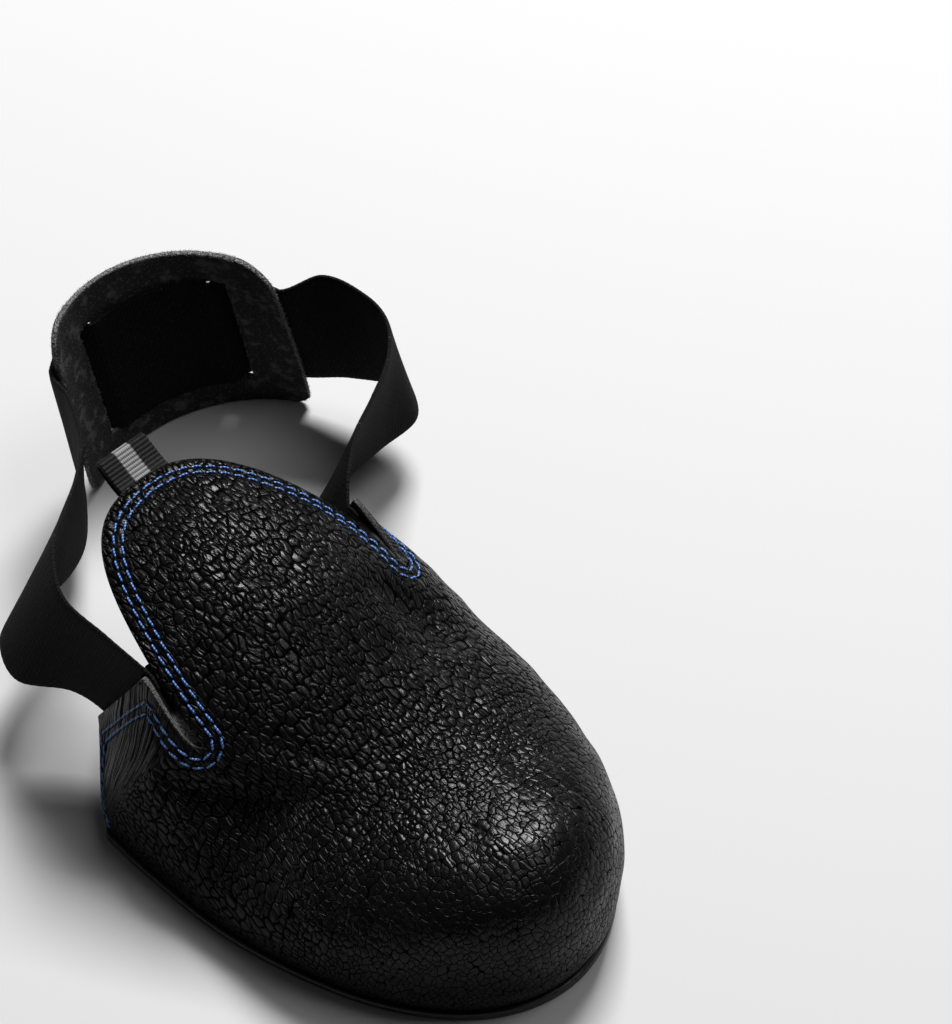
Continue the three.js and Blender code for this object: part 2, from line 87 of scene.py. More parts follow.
# Folds pressed into the leather: a line over it, then depth and radius of the hollow.
FOLDS = (
    ([[-50.5, 108, 35], [-44, 95, 36.5], [-36, 82, 38.5], [-24, 65, 43]], 3.4, 5.5),
    ([[23, 105, 59], [29, 97, 52], [36, 89, 44]], 2.2, 4.5),
    ([[-30, 92, 50], [-22, 78, 48], [-13, 64, 46]], 0.8, 2.6),
    ([[14, 92, 57], [22, 80, 50], [28, 66, 44]], 0.7, 3.0),
    ([[-52, 88, 24], [-49, 72, 26], [-44, 58, 30]], 1.0, 4.0),
)
# Notches beside the tongue, left then right: distance back, inner and outer edge in degrees.
NOTCH_BACK, NOTCH_INNER, NOTCH_OUTER = (102.0, 108.5), (47.5, 44.5), (50.0, 47.0)
NOTCH_DEPTH = 1.6
# How far back the lining under each notch reaches, and how pale its foot is against the raw edge's
# grey, left then right; the left foot is raw fibre brightened with painted light.
LINING_REACH, LINING_PALE = (23.0, 14.0), (2.6, 0.8)
# Where the flat layout of the grain begins to fan out round the toe.
FAN = 57.0
TONGUE_TIP, TONGUE_SKEW, TONGUE_TAPER, TONGUE_ROUND = 165.5, 3.5, 1.3, 2.8
FOOT_ANGLE, WING_FOOT = 100.0, 122.0
WING_TOP = {-1: (-41.5, 121.5, 57.5), 1: (41, 126.5, 59)}
WING_BOTTOM = {-1: (-41, 144.5, 19.2), 1: (41, 144.5, 19.2)}
# How a wing's edges run out to its rear: stiffness at start and end, then out, back and up.
WING_TOP_EDGE = np.array([0.9, 0.6, 0.0, 1.0, 0.15])
WING_LOW_EDGE = np.array([0.7, 0.9, -0.5, 0.75, 0.42])
BAND_WIDTH, BAND_THICKNESS, BAND_TUCK, BAND_HELD = 44.0, 1.3, 0.76, 0.88
BAND_CLEAR, BAND_SHARE, BAND_ON_PAD, BAND_PAD_GAP = 0.8, 0.48, (54.5, 10.5), 0.45
PAD_HALF, PAD_HEIGHT, PAD_THICKNESS, PAD_LIFT = 40.3, 66.0, 2.2, 0.4
PAD_TOP_CORNER, PAD_FOOT_CORNER = 10.0, 5.0
# The pad's arc at its foot and at its top: centre x and y, radius, turn in degrees.
PAD_ARCS = np.array([[46, 176, 50, 14.4], [39.2, 196.8, 36.2, 19.3]])
SLOT_INNER, SLOT_OUTER, SLOT_LOW, SLOT_HIGH, SLOT_MARGIN = 18.5, 25.0, 10.4, 54.6, 0.3
# Free run of the band on each side, wing to pad: x, y, z of its top edge, then of its foot.
BAND_LEFT = np.array([
    [-41.0, 135.3, 62.8, -41.4, 153.7, 22.9],
    [-42.0, 151.3, 66.3, -51.0, 165.5, 25.6],
    [-33.4, 165.3, 67.3, -45.9, 178.2, 27.1],
    [-21.6, 175.1, 64.1, -33.3, 184.4, 22.7],
    [-9.1, 185.0, 60.8, -17.8, 187.7, 17.7],
    [2.0, 196.8, 58.1, -2.9, 195.5, 14.5],
    [9.7, 211.7, 57.2, 9.4, 209.3, 13.1],
])
BAND_RIGHT = np.array([
    [43.8, 133.0, 61.3, 38.7, 150.8, 21.2],
    [55.2, 141.9, 62.2, 52.0, 155.7, 20.6],
    [67.8, 148.5, 62.0, 65.7, 159.1, 19.3],
    [80.4, 155.9, 62.1, 81.0, 161.1, 18.4],
    [90.0, 166.7, 61.8, 96.4, 162.2, 18.5],
    [93.4, 179.2, 60.1, 102.8, 173.2, 17.8],
    [90.8, 194.3, 58.7, 96.3, 189.8, 14.8],
])
LOOP_WIDTH, LOOP_THICKNESS, LOOP_GAP, LOOP_VISIBLE = 16.0, 1.2, 0.9, 12.5
LOOP_TUCKED, LOOP_KNEE, LOOP_RISE, LOOP_QUICK = 10.0, 1.0, 30.0, 1.6
LOOP_SAG, LOOP_SHIFT = 1.1, 3.7
WEBBING_RIB = 1.25
# How far the first and second row of stitching lie in from each run of the free edge.
ROW_INSET = {"low": (1.8, 4.1), "rear": (5.2, 7.9), "top": (3.4, 5.9)}
# Grain cells: how irregular they are, how far from a cell's middle the hollows between cells
# begin, and how softly they do, in cell sizes.
CELL_SPREAD, HOLLOW_FROM, HOLLOW_SOFT = 0.78, 0.78, 0.14
SOLE_EDGE = 0.9
FIBRES, FIBRE_LENGTH = 9000, (0.3, 1.0)

# Shoe coordinates start at the toe tip on the ground; the frame's origin is elsewhere.
_sole_low, _sole_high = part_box("sole")
ORIGIN = np.array([
    (_sole_low[0] + _sole_high[0]) / 2 * 1000,
    _sole_low[1] * 1000 - (TUCK_TOE - SOLE_PROUD),
    _sole_low[2] * 1000,
])
PROBE = 0.02
TINY = 1e-6


# ---- curves and points --------------------------------------------------------------------
def unit(v):
    """Vectors scaled to length one."""
    return v / np.maximum(np.linalg.norm(v, axis=-1, keepdims=True), 1e-12)


def smoothstep(low, high, x):
    """0 below low, 1 above high, 3t^2 - 2t^3 between."""
    t = np.clip((x - low) / (high - low), 0, 1)
    return t * t * (3 - 2 * t)


def hermite(a, slope_a, b, slope_b, t):
    """Cubic from a to b that leaves with slope_a and arrives with slope_b."""
    t2, t3 = t * t, t * t * t
    return (a * (2 * t3 - 3 * t2 + 1) + slope_a * (t3 - 2 * t2 + t)
            + b * (3 * t2 - 2 * t3) + slope_b * (t3 - t2))


def smooth(at, value, x):
    """Hermite curve through knots with finite-difference slopes, held flat beyond its ends."""
    last = len(at) - 1
    x = np.clip(x, at[0], at[-1])
    i = np.searchsorted(at[1:-1], x, side="left")
    after = np.minimum(np.arange(last + 1) + 1, last)
    before = np.maximum(np.arange(last + 1) - 1, 0)
    slope = (value[after] - value[before]) / (at[after] - at[before])
    step = at[i + 1] - at[i]
    return hermite(value[i], slope[i] * step, value[i + 1], slope[i + 1] * step,
                   (x - at[i]) / step)


def ripple(points, size, seed):
    """Soft unevenness of about -1 to 1: plane waves about size long in random directions."""
    rng = np.random.default_rng(seed)
    waves = unit(rng.normal(size=(14, 3))) * (2 * np.pi / (size * rng.uniform(0.7, 1.4, (14, 1))))
    return np.sin(points @ waves.T + rng.uniform(0, 2 * np.pi, 14)).sum(-1) / np.sqrt(14)


def line_length(points):
    """Distance run along a line of points, from 0."""
    return np.concatenate([[0], np.cumsum(np.linalg.norm(np.diff(points, axis=0), axis=1))])


def at_lengths(points, run, at):
    """Points of a line at given distances along it, run being its own distances."""
    return np.stack([np.interp(at, run, points[:, k]) for k in range(3)], 1)


def spaced(points, step):
    """The same line with its points an equal distance apart, about step."""
    run = line_length(points)
    return at_lengths(points, run, np.linspace(0, run[-1], max(2, round(run[-1] / step) + 1)))


# ---- leather upper ------------------------------------------------------------------------
def by_side(side, pair):
    """The left or right value of a pair, for each side sign."""
    return np.where(np.asarray(side) < 0, pair[0], pair[1])


def notch_angles(side):
    """Degrees round the section of one notch's inner and outer edge."""
    return float(by_side(side, NOTCH_INNER)), float(by_side(side, NOTCH_OUTER))


def half_width(back):
    """Half width in plan: the section table times a superellipse over the toe."""
    s = np.maximum(0, (TOE_LENGTH - back) / TOE_LENGTH)
    return smooth(SECTION_BACK, SECTION_HALF, back) * (1 - s**TOE_PLAN) ** (1 / TOE_PLAN)


def ridge_rise(back):
    """Height of the ridge over the waist, rising steeply behind the toe tip."""
    s = np.maximum(0, (NOSE_LENGTH - back) / NOSE_LENGTH)
    rise = smooth(SECTION_BACK, SECTION_RIDGE, back) - WAIST
    return rise * (1 - s**NOSE_POWER) ** (1 / NOSE_POWER)


def dome(around, back):
    """Superellipse |x/half|^n + |z/rise|^n = 1 in polar form, the angle counted from the ridge."""
    n = smooth(SECTION_BACK, SECTION_SQUARE, back)
    s = np.sin(np.radians(around))
    c = np.maximum(0, np.cos(np.radians(around)))
    half, rise = np.maximum(half_width(back), TINY), np.maximum(ridge_rise(back), TINY)
    reach = ((s / half) ** n + (c / rise) ** n) ** (-1 / n)
    return np.stack([reach * s, back + 0 * reach, WAIST + reach * c], -1)


def side_wall(around, back):
    """Below the waist: straight down, leaning in square to the plan outline by q^1.5."""
    around, back = np.broadcast_arrays(np.asarray(around, float), np.asarray(back, float))
    q = np.clip((around - 90) / (FOOT_ANGLE - 90), 0, 1)
    before = np.maximum(0, back - PROBE)
    slope = half_width(back + PROBE) - half_width(before)
    inward = unit(np.stack([-(back + PROBE - before), slope, 0 * slope], -1))
    lean = TUCK_TOE + (TUCK_HEEL - TUCK_TOE) * smoothstep(TUCK_FROM, TUCK_TO, back)
    z = WAIST + (SOLE_THICKNESS + SEAT_GAP - WAIST) * q
    return np.stack([half_width(back), back, z], -1) + inward * (lean * q**TUCK_CURVE)[..., None]


def smooth_upper(around, back):
    """The upper before its dents: the dome down to the waist and the side wall below it."""
    around, back = np.broadcast_arrays(np.asarray(around, float), np.asarray(back, float))
    return np.where((around <= 90)[..., None], dome(around, back), side_wall(around, back))


def dented(p):
    """Pushed towards the middle of its section by depth * exp(-distance^2 / radius^2)."""
    middle = np.stack([0 * p[..., 0], p[..., 1], 0 * p[..., 0] + WAIST], -1)
    inward, out = unit(middle - p), p.copy()
    for side, around, back, depth, radius in DENTS:
        centre = smooth_upper(around, back) * (side, 1, 1)
        bell = np.exp(-((p - centre) ** 2).sum(-1) / radius**2)
        out += inward * (depth * bell)[..., None]
    return out


def upper_point(side, around, back):
    """Point on the dented upper, left of the ridge for side -1 and right of it for side 1."""
    p = smooth_upper(around, back)
    return dented(np.concatenate([p[..., :1] * np.asarray(side)[..., None], p[..., 1:]], -1))


def seam_back(side, around):
    """Back line of the toe: slants from notch to notch, then runs back to each foot."""
    notch, inner, outer = (by_side(side, v) for v in (NOTCH_BACK, NOTCH_INNER, NOTCH_OUTER))
    middle = sum(NOTCH_BACK) / 2
    top = middle + (notch - middle) * np.minimum(1, around / inner)
    low = notch + (WING_FOOT - notch) * (around - outer) / (FOOT_ANGLE - outer)
    return np.where(around <= outer, top, low)


def patch_end(side, around):
    """The back line scooped out in a half round at the foot of each notch."""
    inner, outer = by_side(side, NOTCH_INNER), by_side(side, NOTCH_OUTER)
    s = (2 * around - inner - outer) / (outer - inner)
    return seam_back(side, around) - NOTCH_DEPTH * np.sqrt(np.maximum(0, 1 - s * s))


def tongue_point(side, around, along):
    """The section's top over an outline narrowed by (1 - t^taper)^(1/round) to a blunt tip."""
    start = seam_back(side, around)
    back = start + (TONGUE_TIP - start) * along
    narrow = np.maximum(0, 1 - along**TONGUE_TAPER) ** (1 / TONGUE_ROUND)
    x = side * dome(around, start)[..., 0] * narrow - TONGUE_SKEW * along**2
    n = smooth(SECTION_BACK, SECTION_SQUARE, back)
    z = WAIST + ridge_rise(back) * (1 - np.abs(x / half_width(back)) ** n) ** (1 / n)
    return dented(np.stack([x, back, z], -1))


def wing_point(side, around, along):
    """Hermite curves from the toe's back line to the wing's rear edge."""
    around, along = np.broadcast_arrays(np.asarray(around, float), np.asarray(along, float))
    outer = float(by_side(side, NOTCH_OUTER))
    down = ((around - outer) / (FOOT_ANGLE - outer))[..., None]
    back = seam_back(side, around)
    start = upper_point(side, around, back)
    top, bottom = np.array(WING_TOP[side], float), np.array(WING_BOTTOM[side], float)
    rear = top + (bottom - top) * down
    length = np.linalg.norm(rear - start, axis=-1, keepdims=True)
    edge = WING_TOP_EDGE + (WING_LOW_EDGE - WING_TOP_EDGE) * down
    first = unit(start - upper_point(side, around, back - 1)) * length * edge[..., :1]
    last = unit(edge[..., 2:] * (side, 1, 1)) * length * edge[..., 1:2]
    return hermite(start, first, rear, last, along[..., None])


# ---- sheets and walls ---------------------------------------------------------------------
def triangles_of(grid):
    """Two triangles for each cell of a grid of point numbers, one where a cell closes up."""
    a, b, c, d = grid[:-1, :-1], grid[:-1, 1:], grid[1:, 1:], grid[1:, :-1]
    faces = np.concatenate([np.stack([a, b, c], -1).reshape(-1, 3),
                            np.stack([a, c, d], -1).reshape(-1, 3)])
    first, second, third = faces.T
    return faces[(first != second) & (second != third) & (third != first)]


def sheet_of(grid):
    """A grid of points as one list, with its triangles."""
    number = np.arange(grid.size // 3).reshape(grid.shape[:2])
    return grid.reshape(-1, 3), triangles_of(number)


def compact(faces, count):
    """Numbers of the points that the triangles use, and the triangles renumbered to them."""
    used = np.unique(faces)
    new = np.zeros(count, int)
    new[used] = np.arange(len(used))
    return used, new[faces]


def normals_of(points, faces):
    """Area-weighted normal at every point."""
    a, b, c = points[faces[:, 0]], points[faces[:, 1]], points[faces[:, 2]]
    across = np.cross(b - a, c - a)
    total = np.stack([
        sum(np.bincount(faces[:, k], across[:, axis], len(points)) for k in range(3))
        for axis in range(3)
    ], 1)
    return unit(total)


def rim_edges(faces):
    """Directed edges that only one triangle has."""
    edges = np.concatenate([faces[:, [0, 1]], faces[:, [1, 2]], faces[:, [2, 0]]])
    size = faces.max() + 1
    there, back = edges[:, 0] * size + edges[:, 1], edges[:, 1] * size + edges[:, 0]
    return edges[~np.isin(there, back)]


def wall(points, faces, outward, inward, bulge, rings=5):
    """Closed wall on a sheet: skins at +outward and -inward along its normals, and round every
    free edge a rim whose section is half an ellipse standing bulge proud.

    Returns the points, the triangles, the sheet point that each comes from, and its depth
    through the wall from 0 outside to 1 inside.
    """
    count = len(points)
    normals = normals_of(points, faces)
    outward, inward = np.broadcast_to(outward, count), np.broadcast_to(inward, count)
    edges = rim_edges(faces)
    along = points[edges[:, 1]] - points[edges[:, 0]]
    out = np.zeros_like(points)
    for end in (0, 1):
        np.add.at(out, edges[:, end], np.cross(along, normals[edges[:, end]]))
    rim = np.unique(edges)
    number = np.zeros(count, int)
    number[rim] = np.arange(len(rim))
    middle, half = (outward - inward)[rim] / 2, (outward + inward)[rim] / 2
    out = unit(out[rim])
    layers = [points + normals * outward[:, None], points - normals * inward[:, None]]
    depth, source = [np.zeros(count), np.ones(count)], [np.arange(count), np.arange(count)]
    for k in range(1, rings):
        angle = np.pi * k / rings
        stand = normals[rim] * (middle + half * np.cos(angle))[:, None]
        layers.append(points[rim] + stand + out * bulge * np.sin(angle))
        depth.append(np.full(len(rim), (1 - np.cos(angle)) / 2))
        source.append(rim)
    a, b = edges.T
    ring = [(a, b)]
    for k in range(1, rings):
        base = 2 * count + (k - 1) * len(rim)
        ring.append((base + number[a], base + number[b]))
    ring.append((count + a, count + b))
    triangles = [faces, count + faces[:, ::-1]]
    for (a0, b0), (a1, b1) in zip(ring, ring[1:]):
        triangles += [np.stack([b0, a0, a1], 1), np.stack([b0, a1, b1], 1)]
    return (np.concatenate(layers), np.concatenate(triangles),
            np.concatenate(source), np.concatenate(depth))


def make_piece(name, points, faces, finish, attributes=(), replaces=()):
    """A piece from points in shoe millimetres, with a value or vector stored at each point."""
    mesh = bpy.data.meshes.new(name)
    mesh.vertices.add(len(points))
    mesh.vertices.foreach_set("co", ((points + ORIGIN) / 1000).astype(np.float32).ravel())
    mesh.loops.add(faces.size)
    mesh.loops.foreach_set("vertex_index", faces.astype(np.int32).ravel())
    mesh.polygons.add(len(faces))
    mesh.polygons.foreach_set("loop_start", np.arange(0, faces.size, 3, dtype=np.int32))
    mesh.polygons.foreach_set("use_smooth", np.ones(len(faces), bool))
    for key, value in dict(attributes).items():
        vector = value.ndim == 2
        kind = "FLOAT_VECTOR" if vector else "FLOAT"
        store = mesh.attributes.new(key, kind, "POINT")
        store.data.foreach_set("vector" if vector else "value", value.astype(np.float32).ravel())
    mesh.update(calc_edges=True)
    if mesh.validate():
        raise RuntimeError(f"{name} had faces that Blender had to repair")
    mesh.materials.append(finish)
    piece = bpy.data.objects.new(name, mesh)
    bpy.context.scene.collection.objects.link(piece)
    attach(piece, "root")
    if replaces:
        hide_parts(*replaces)
    return piece


# ---- material nodes -----------------------------------------------------------------------
class Finish:
    """A material with one Principled shader, and short ways to add and join its nodes."""

    def __init__(self, name, **shader):
        self.material = bpy.data.materials.new(name)
        self.material.use_nodes = True
        self.tree = self.material.node_tree
        self.tree.nodes.clear()
        output = self.node("ShaderNodeOutputMaterial")
        self.shader = self.node("ShaderNodeBsdfPrincipled")
        self.tree.links.new(self.shader.outputs["BSDF"], output.inputs["Surface"])
        for key, value in shader.items():
            self.shader.inputs[key.replace("_", " ")].default_value = value

    def node(self, kind, inputs=(), **settings):
        """A new node, its inputs linked to sockets or set to values."""
        made = self.tree.nodes.new(kind)
        for key, value in settings.items():
            setattr(made, key, value)
        for key, value in dict(inputs).items():
            if isinstance(value, bpy.types.NodeSocket):
                self.tree.links.new(value, made.inputs[key])
            else:
                made.inputs[key].default_value = value
        return made

    def set(self, key, value):
        """Links a socket to one of the shader's inputs."""
        self.tree.links.new(value, self.shader.inputs[key])

    def attribute(self, name, output="Fac"):
        """A value or vector that the mesh holds at each point."""
        return self.node("ShaderNodeAttribute", attribute_name=name).outputs[output]

    def math(self, operation, a, b=0.0, clamp=False):
        """One sum, product or function of numbers."""
        made = self.node("ShaderNodeMath", {0: a, 1: b}, operation=operation, use_clamp=clamp)
        return made.outputs[0]

    def vector(self, operation, a, b):
        """The same for vectors."""
        made = self.node("ShaderNodeVectorMath", {0: a, 1: b}, operation=operation)
        return made.outputs[0]

    def plus(self, a, b, share):
        """a + b * share."""
        return self.math("ADD", a, self.math("MULTIPLY", b, share))

    def weave(self):
        """The weave vector, and its millimetres along and across."""
        run = self.attribute("weave", "Vector")
        parts = self.node("ShaderNodeSeparateXYZ", {0: run}).outputs
        return run, parts["X"], parts["Y"]

    def step(self, value, low, high, start=0.0, end=1.0):
        """Smooth change from start to end as the value goes from low to high."""
        inputs = {"Value": value, 1: low, 2: high, 3: start, 4: end}
        made = self.node("ShaderNodeMapRange", inputs, interpolation_type="SMOOTHSTEP")
        return made.outputs["Result"]

    def mix(self, share, a, b):
        """Colour a at share 0, b at share 1."""
        inputs = {0: share, 6: a, 7: b}
        return self.node("ShaderNodeMix", inputs, data_type="RGBA").outputs[2]

    def blend(self, share, a, b):
        """Number a at share 0, b at share 1."""
        inputs = {0: share, 2: a, 3: b}
        return self.node("ShaderNodeMix", inputs, data_type="FLOAT").outputs[0]

    def noise(self, vector, scale, detail=2.0, output="Fac"):
        """Soft noise from 0 to 1, or three of them as a colour."""
        inputs = {"Vector": vector, "Scale": scale, "Detail": detail}
        return self.node("ShaderNodeTexNoise", inputs).outputs[output]

    def cells(self, vector, scale, feature="F1", randomness=1.0):
        """Distance to the nearest cell's middle or edge, in a flat pattern of cells."""
        inputs = {"Vector": vector, "Scale": scale, "Randomness": randomness}
        made = self.node("ShaderNodeTexVoronoi", inputs, feature=feature,
                         voronoi_dimensions="2D")
        return made.outputs["Distance"]

    def pebbles(self, vector, size, crease):
        """Height and valley mask of rounded cells parted by thin creases, at one cell size.

        The valley follows the smooth minimum of the distance to the cell's edge and what is
        left of HOLLOW_FROM at this distance from its middle; the height adds a low dome."""
        edge = self.cells(vector, 1 / size, "DISTANCE_TO_EDGE", CELL_SPREAD)
        middle = self.cells(vector, 1 / size, "F1", CELL_SPREAD)
        inputs = {0: edge, 1: self.math("SUBTRACT", HOLLOW_FROM, middle), 2: HOLLOW_SOFT}
        inside = self.node("ShaderNodeMath", inputs, operation="SMOOTH_MIN").outputs[0]
        valley, dome = self.step(inside, 0.0, crease), self.step(middle, 0.75, 0.0)
        return self.plus(self.math("MULTIPLY", valley, 0.6), dome, 0.38), valley

    def bump(self, height, depth_mm):
        """Surface relief: a height of 1 stands depth_mm proud."""
        inputs = {"Height": height, "Distance": depth_mm / 1000, "Strength": 1.0}
        self.set("Normal", self.node("ShaderNodeBump", inputs).outputs["Normal"])


def grey(value, tint=(1.0, 1.0, 1.0)):
    """A grey as a colour, tinted where a tint is given."""
    return (value * tint[0], value * tint[1], value * tint[2], 1.0)


def leather_finish(name, colour, flesh, rim, pebble, depth, gloss):
    """Pebbled leather outside, matt flesh side inside, pale raw fibre along the cut edge.

    The grain is a cell pattern in millimetres: crisp creases between rounded pebbles of two
    sizes, finer creases on the pebbles, and a pore noise. The creases are painted black and their
    reflection dimmed, as painted shade. The mesh holds the place in the grain, the depth through
    the leather from 0 to 1, the distance to the cut edge, the strength of the relief, how dull the
    leather is and how far its reflection is dimmed there as painted shade, and how far the grain is
    pulled out into lines.
    relief, how dull the leather is, and how far the grain is pulled out into lines.
    """
    skin = Finish(name, Specular_IOR_Level=0.13)
    grain, depth_in = skin.attribute("grain", "Vector"), skin.attribute("depth")
    edge = skin.attribute("edge")
    warp = skin.noise(grain, 0.33, 1.0, "Color")
    bent = skin.vector("ADD", grain, skin.vector("MULTIPLY", warp, (1.9, 1.9, 0.0)))
    patch = skin.noise(grain, 0.07, 2.0)
    relief = skin.attribute("relief")
    large = skin.pebbles(bent, pebble, skin.math("MULTIPLY", relief, 0.17))
    medium = skin.pebbles(bent, pebble * 0.76, skin.math("MULTIPLY", relief, 0.2))
    which = skin.step(skin.noise(grain, 0.16, 2.0), 0.44, 0.6)
    height, valley = (skin.blend(which, a, b) for a, b in zip(large, medium))
    fine = skin.cells(bent, 2.6 / pebble, "DISTANCE_TO_EDGE")
    height = skin.plus(height, skin.step(fine, 0.0, 0.2),
                       skin.step(patch, 0.4, 0.65, 0.02, 0.08))
    # Longer creases along the shoe gather the pebbles into rows.
    drawn = skin.vector("MULTIPLY", bent, (1.0, 0.33, 1.0))
    fold = skin.cells(drawn, 0.42 / pebble, "DISTANCE_TO_EDGE")
    height = skin.plus(height, skin.step(fold, 0.0, 0.09), 0.25)
    height = skin.plus(height, skin.noise(grain, 3.2, 3.0), 0.05)
    # On the wings the pebbles give way to lines.
    lines = skin.noise(skin.vector("MULTIPLY", grain, (0.16, 0.95, 0.0)), 1.0, 2.0)
    pull = skin.attribute("pull")
    height = skin.blend(pull, height, skin.step(lines, 0.36, 0.6, 0.0, 1.6))
    valley = skin.blend(pull, valley, skin.step(lines, 0.36, 0.5))
    fuzz = skin.noise(grain, 2.2, 4.0)
    speck = skin.step(skin.cells(grain, 0.55), 0.16, 0.05)
    inside = skin.step(depth_in, 0.55, 0.8)
    on_rim = skin.math("MULTIPLY", skin.step(depth_in, 0.02, 0.2),
                       skin.step(depth_in, 0.98, 0.8))
    # The creases between pebbles and the wing lines are painted black: painted shade.
    base = skin.mix(valley, grey(0.0), grey(colour))
    flesh_colour = skin.mix(fuzz, grey(flesh * 0.55), grey(flesh * 1.5))
    scuff = skin.math("MULTIPLY", skin.step(skin.noise(grain, 0.25, 5.0), 0.5, 0.68), 0.2)
    flesh_colour = skin.mix(scuff, flesh_colour, grey(rim))
    flesh_colour = skin.mix(skin.math("MULTIPLY", speck, 0.3), flesh_colour, grey(rim))
    raw = skin.mix(skin.step(fuzz, 0.35, 0.7), grey(flesh * 0.6), grey(rim, (1.0, 1.0, 0.98)))
    # Lighter in a noisy band within 0.7 mm of the free edge.
    paler_near_edge = skin.math("MULTIPLY", skin.step(edge, 0.7, 0.0), skin.step(fuzz, 0.4, 0.65))
    base = skin.mix(skin.math("MULTIPLY", paler_near_edge, 0.3), base, grey(rim * 0.6))
    base = skin.mix(inside, base, flesh_colour)
    skin.set("Base Color", skin.mix(on_rim, base, raw))
    matt = skin.math("MAXIMUM", inside, on_rim)
    shine = skin.step(patch, 0.3, 0.7, gloss - 0.03, gloss + 0.05)
    dull_and_shaded = skin.attribute("dull_and_shaded")
    shine = skin.math("ADD", skin.blend(valley, 1.0, shine),
                      skin.math("MULTIPLY", dull_and_shaded, 0.15), clamp=True)
    # Painted shade: the reflection is dimmed in the creases and on the dull lower wall by the sole.
    skin.set("Specular Tint", skin.mix(valley, grey(0.08), skin.mix(dull_and_shaded, grey(1.0), grey(0.3))))
    skin.set("Roughness", skin.blend(matt, shine, 0.92))
    height = skin.math("MULTIPLY", height, relief)
    skin.bump(skin.blend(matt, height, skin.math("MULTIPLY", fuzz, 1.2)), depth)
    return skin.material


def elastic_finish(name, colour, rib):
    """Woven elastic: ribs across the band, cords along it, and a twill that slants over both."""
    cloth = Finish(name, Roughness=0.85, Specular_IOR_Level=0.07)
    weave, along, across = cloth.weave()
    turn = 2 * np.pi
    ribs = cloth.math("SINE", cloth.math("MULTIPLY", along, turn / rib))
    cords = cloth.math("SINE", cloth.math("MULTIPLY", across, turn / 0.85))
    slant = cloth.plus(along, across, 0.7)
    twill = cloth.math("SINE", cloth.math("MULTIPLY", slant, turn / 1.9))
    height = cloth.math("MULTIPLY", cloth.math("ADD", ribs, cords), 0.25)
    height = cloth.plus(height, twill, 0.12)
    height = cloth.plus(height, cloth.noise(weave, 2.6, 3.0), 0.5)
    lint = cloth.cells(weave, 0.4)
    # Darker in the weave's hollows and lighter on its ribs and cords, as painted shade and painted
    # light, and mottled at random.
    base = cloth.mix(cloth.step(height, -0.2, 0.8), grey(colour * 0.4), grey(colour * 1.5))
    lint_share = cloth.math("MULTIPLY", cloth.step(lint, 0.1, 0.03), 0.1)
    cloth.set("Base Color", cloth.mix(lint_share, base, grey(0.25)))
    cloth.bump(height, 0.22)
    return cloth.material


def webbing_finish(name, colour, stripe):
    """Ribbed webbing, dark with a pale middle third; weave holds millimetres along and across."""
    cloth = Finish(name, Roughness=0.6, Specular_IOR_Level=0.15)
    weave, along, across = cloth.weave()
    threads = cloth.math("SINE", cloth.math("MULTIPLY", across, 2 * np.pi / 0.6))
    valley = cloth.math("COSINE", cloth.math("MULTIPLY", along, 2 * np.pi / WEBBING_RIB))
    fuzz = cloth.noise(weave, 3.0, 2.0)
    wobble = cloth.math("MULTIPLY", cloth.math("SUBTRACT", fuzz, 0.5), 0.6)
    off_middle = cloth.math("ABSOLUTE", cloth.math("ADD", across, wobble))
    pale = cloth.step(off_middle, LOOP_WIDTH * 0.175, LOOP_WIDTH * 0.15)
    # Darker in the grooves between the ribs: painted shade.
    shade = cloth.step(valley, -1.0, 0.4)
    dark_side = cloth.mix(shade, grey(colour * 0.3), grey(colour))
    pale_side = cloth.mix(shade, grey(stripe * 0.35), grey(stripe))
    cloth.set("Base Color", cloth.mix(pale, dark_side, pale_side))
    cloth.bump(cloth.math("ADD", cloth.math("MULTIPLY", threads, 0.3), fuzz), 0.12)
    return cloth.material


def thread_finish(name, colour):
    """Polyester sewing thread: two plies twisted round the stitch, with a soft sheen."""
    thread = Finish(name, Roughness=0.34, Specular_IOR_Level=0.6)
    _, along, turn = thread.weave()
    twist = thread.plus(thread.math("MULTIPLY", along, 2 * np.pi / 0.9), turn, 2.0)
    ply = thread.math("SINE", twist)
    # Darker in the grooves between the plies and lighter on their crowns: painted shade and painted
    # light.
    dark = (colour[0] * 0.35, colour[1] * 0.35, colour[2] * 0.45, 1.0)
    light = (colour[0] * 1.3, colour[1] * 1.3, colour[2] * 1.25, 1.0)
    thread.set("Base Color", thread.mix(thread.step(ply, -0.9, 0.5), dark, light))
    thread.bump(ply, 0.06)
    return thread.material


def fibre_finish(name, colour):
    """Loose leather fibre, matt, each one its own grey."""
    fibre = Finish(name, Roughness=0.9, Specular_IOR_Level=0.1)
    fibre.set("Base Color", fibre.mix(fibre.attribute("shade"), grey(colour * 0.25), grey(colour)))
    return fibre.material


def lining_finish(name, dark, pale):
    """Dark fabric lining with a patch of pale raw fibre where the mesh says so, brightened as
    painted light where the paleness given is over one.
    """
    cloth = Finish(name, Roughness=0.92, Specular_IOR_Level=0.1)
    fuzz = cloth.noise(cloth.attribute("grain", "Vector"), 1.6, 4.0)
    share = cloth.math("MULTIPLY", cloth.attribute("pale"), cloth.step(fuzz, 0.3, 0.6))
    cloth.set("Base Color", cloth.mix(share, grey(dark), grey(pale)))
    cloth.bump(fuzz, 0.4)
    return cloth.material


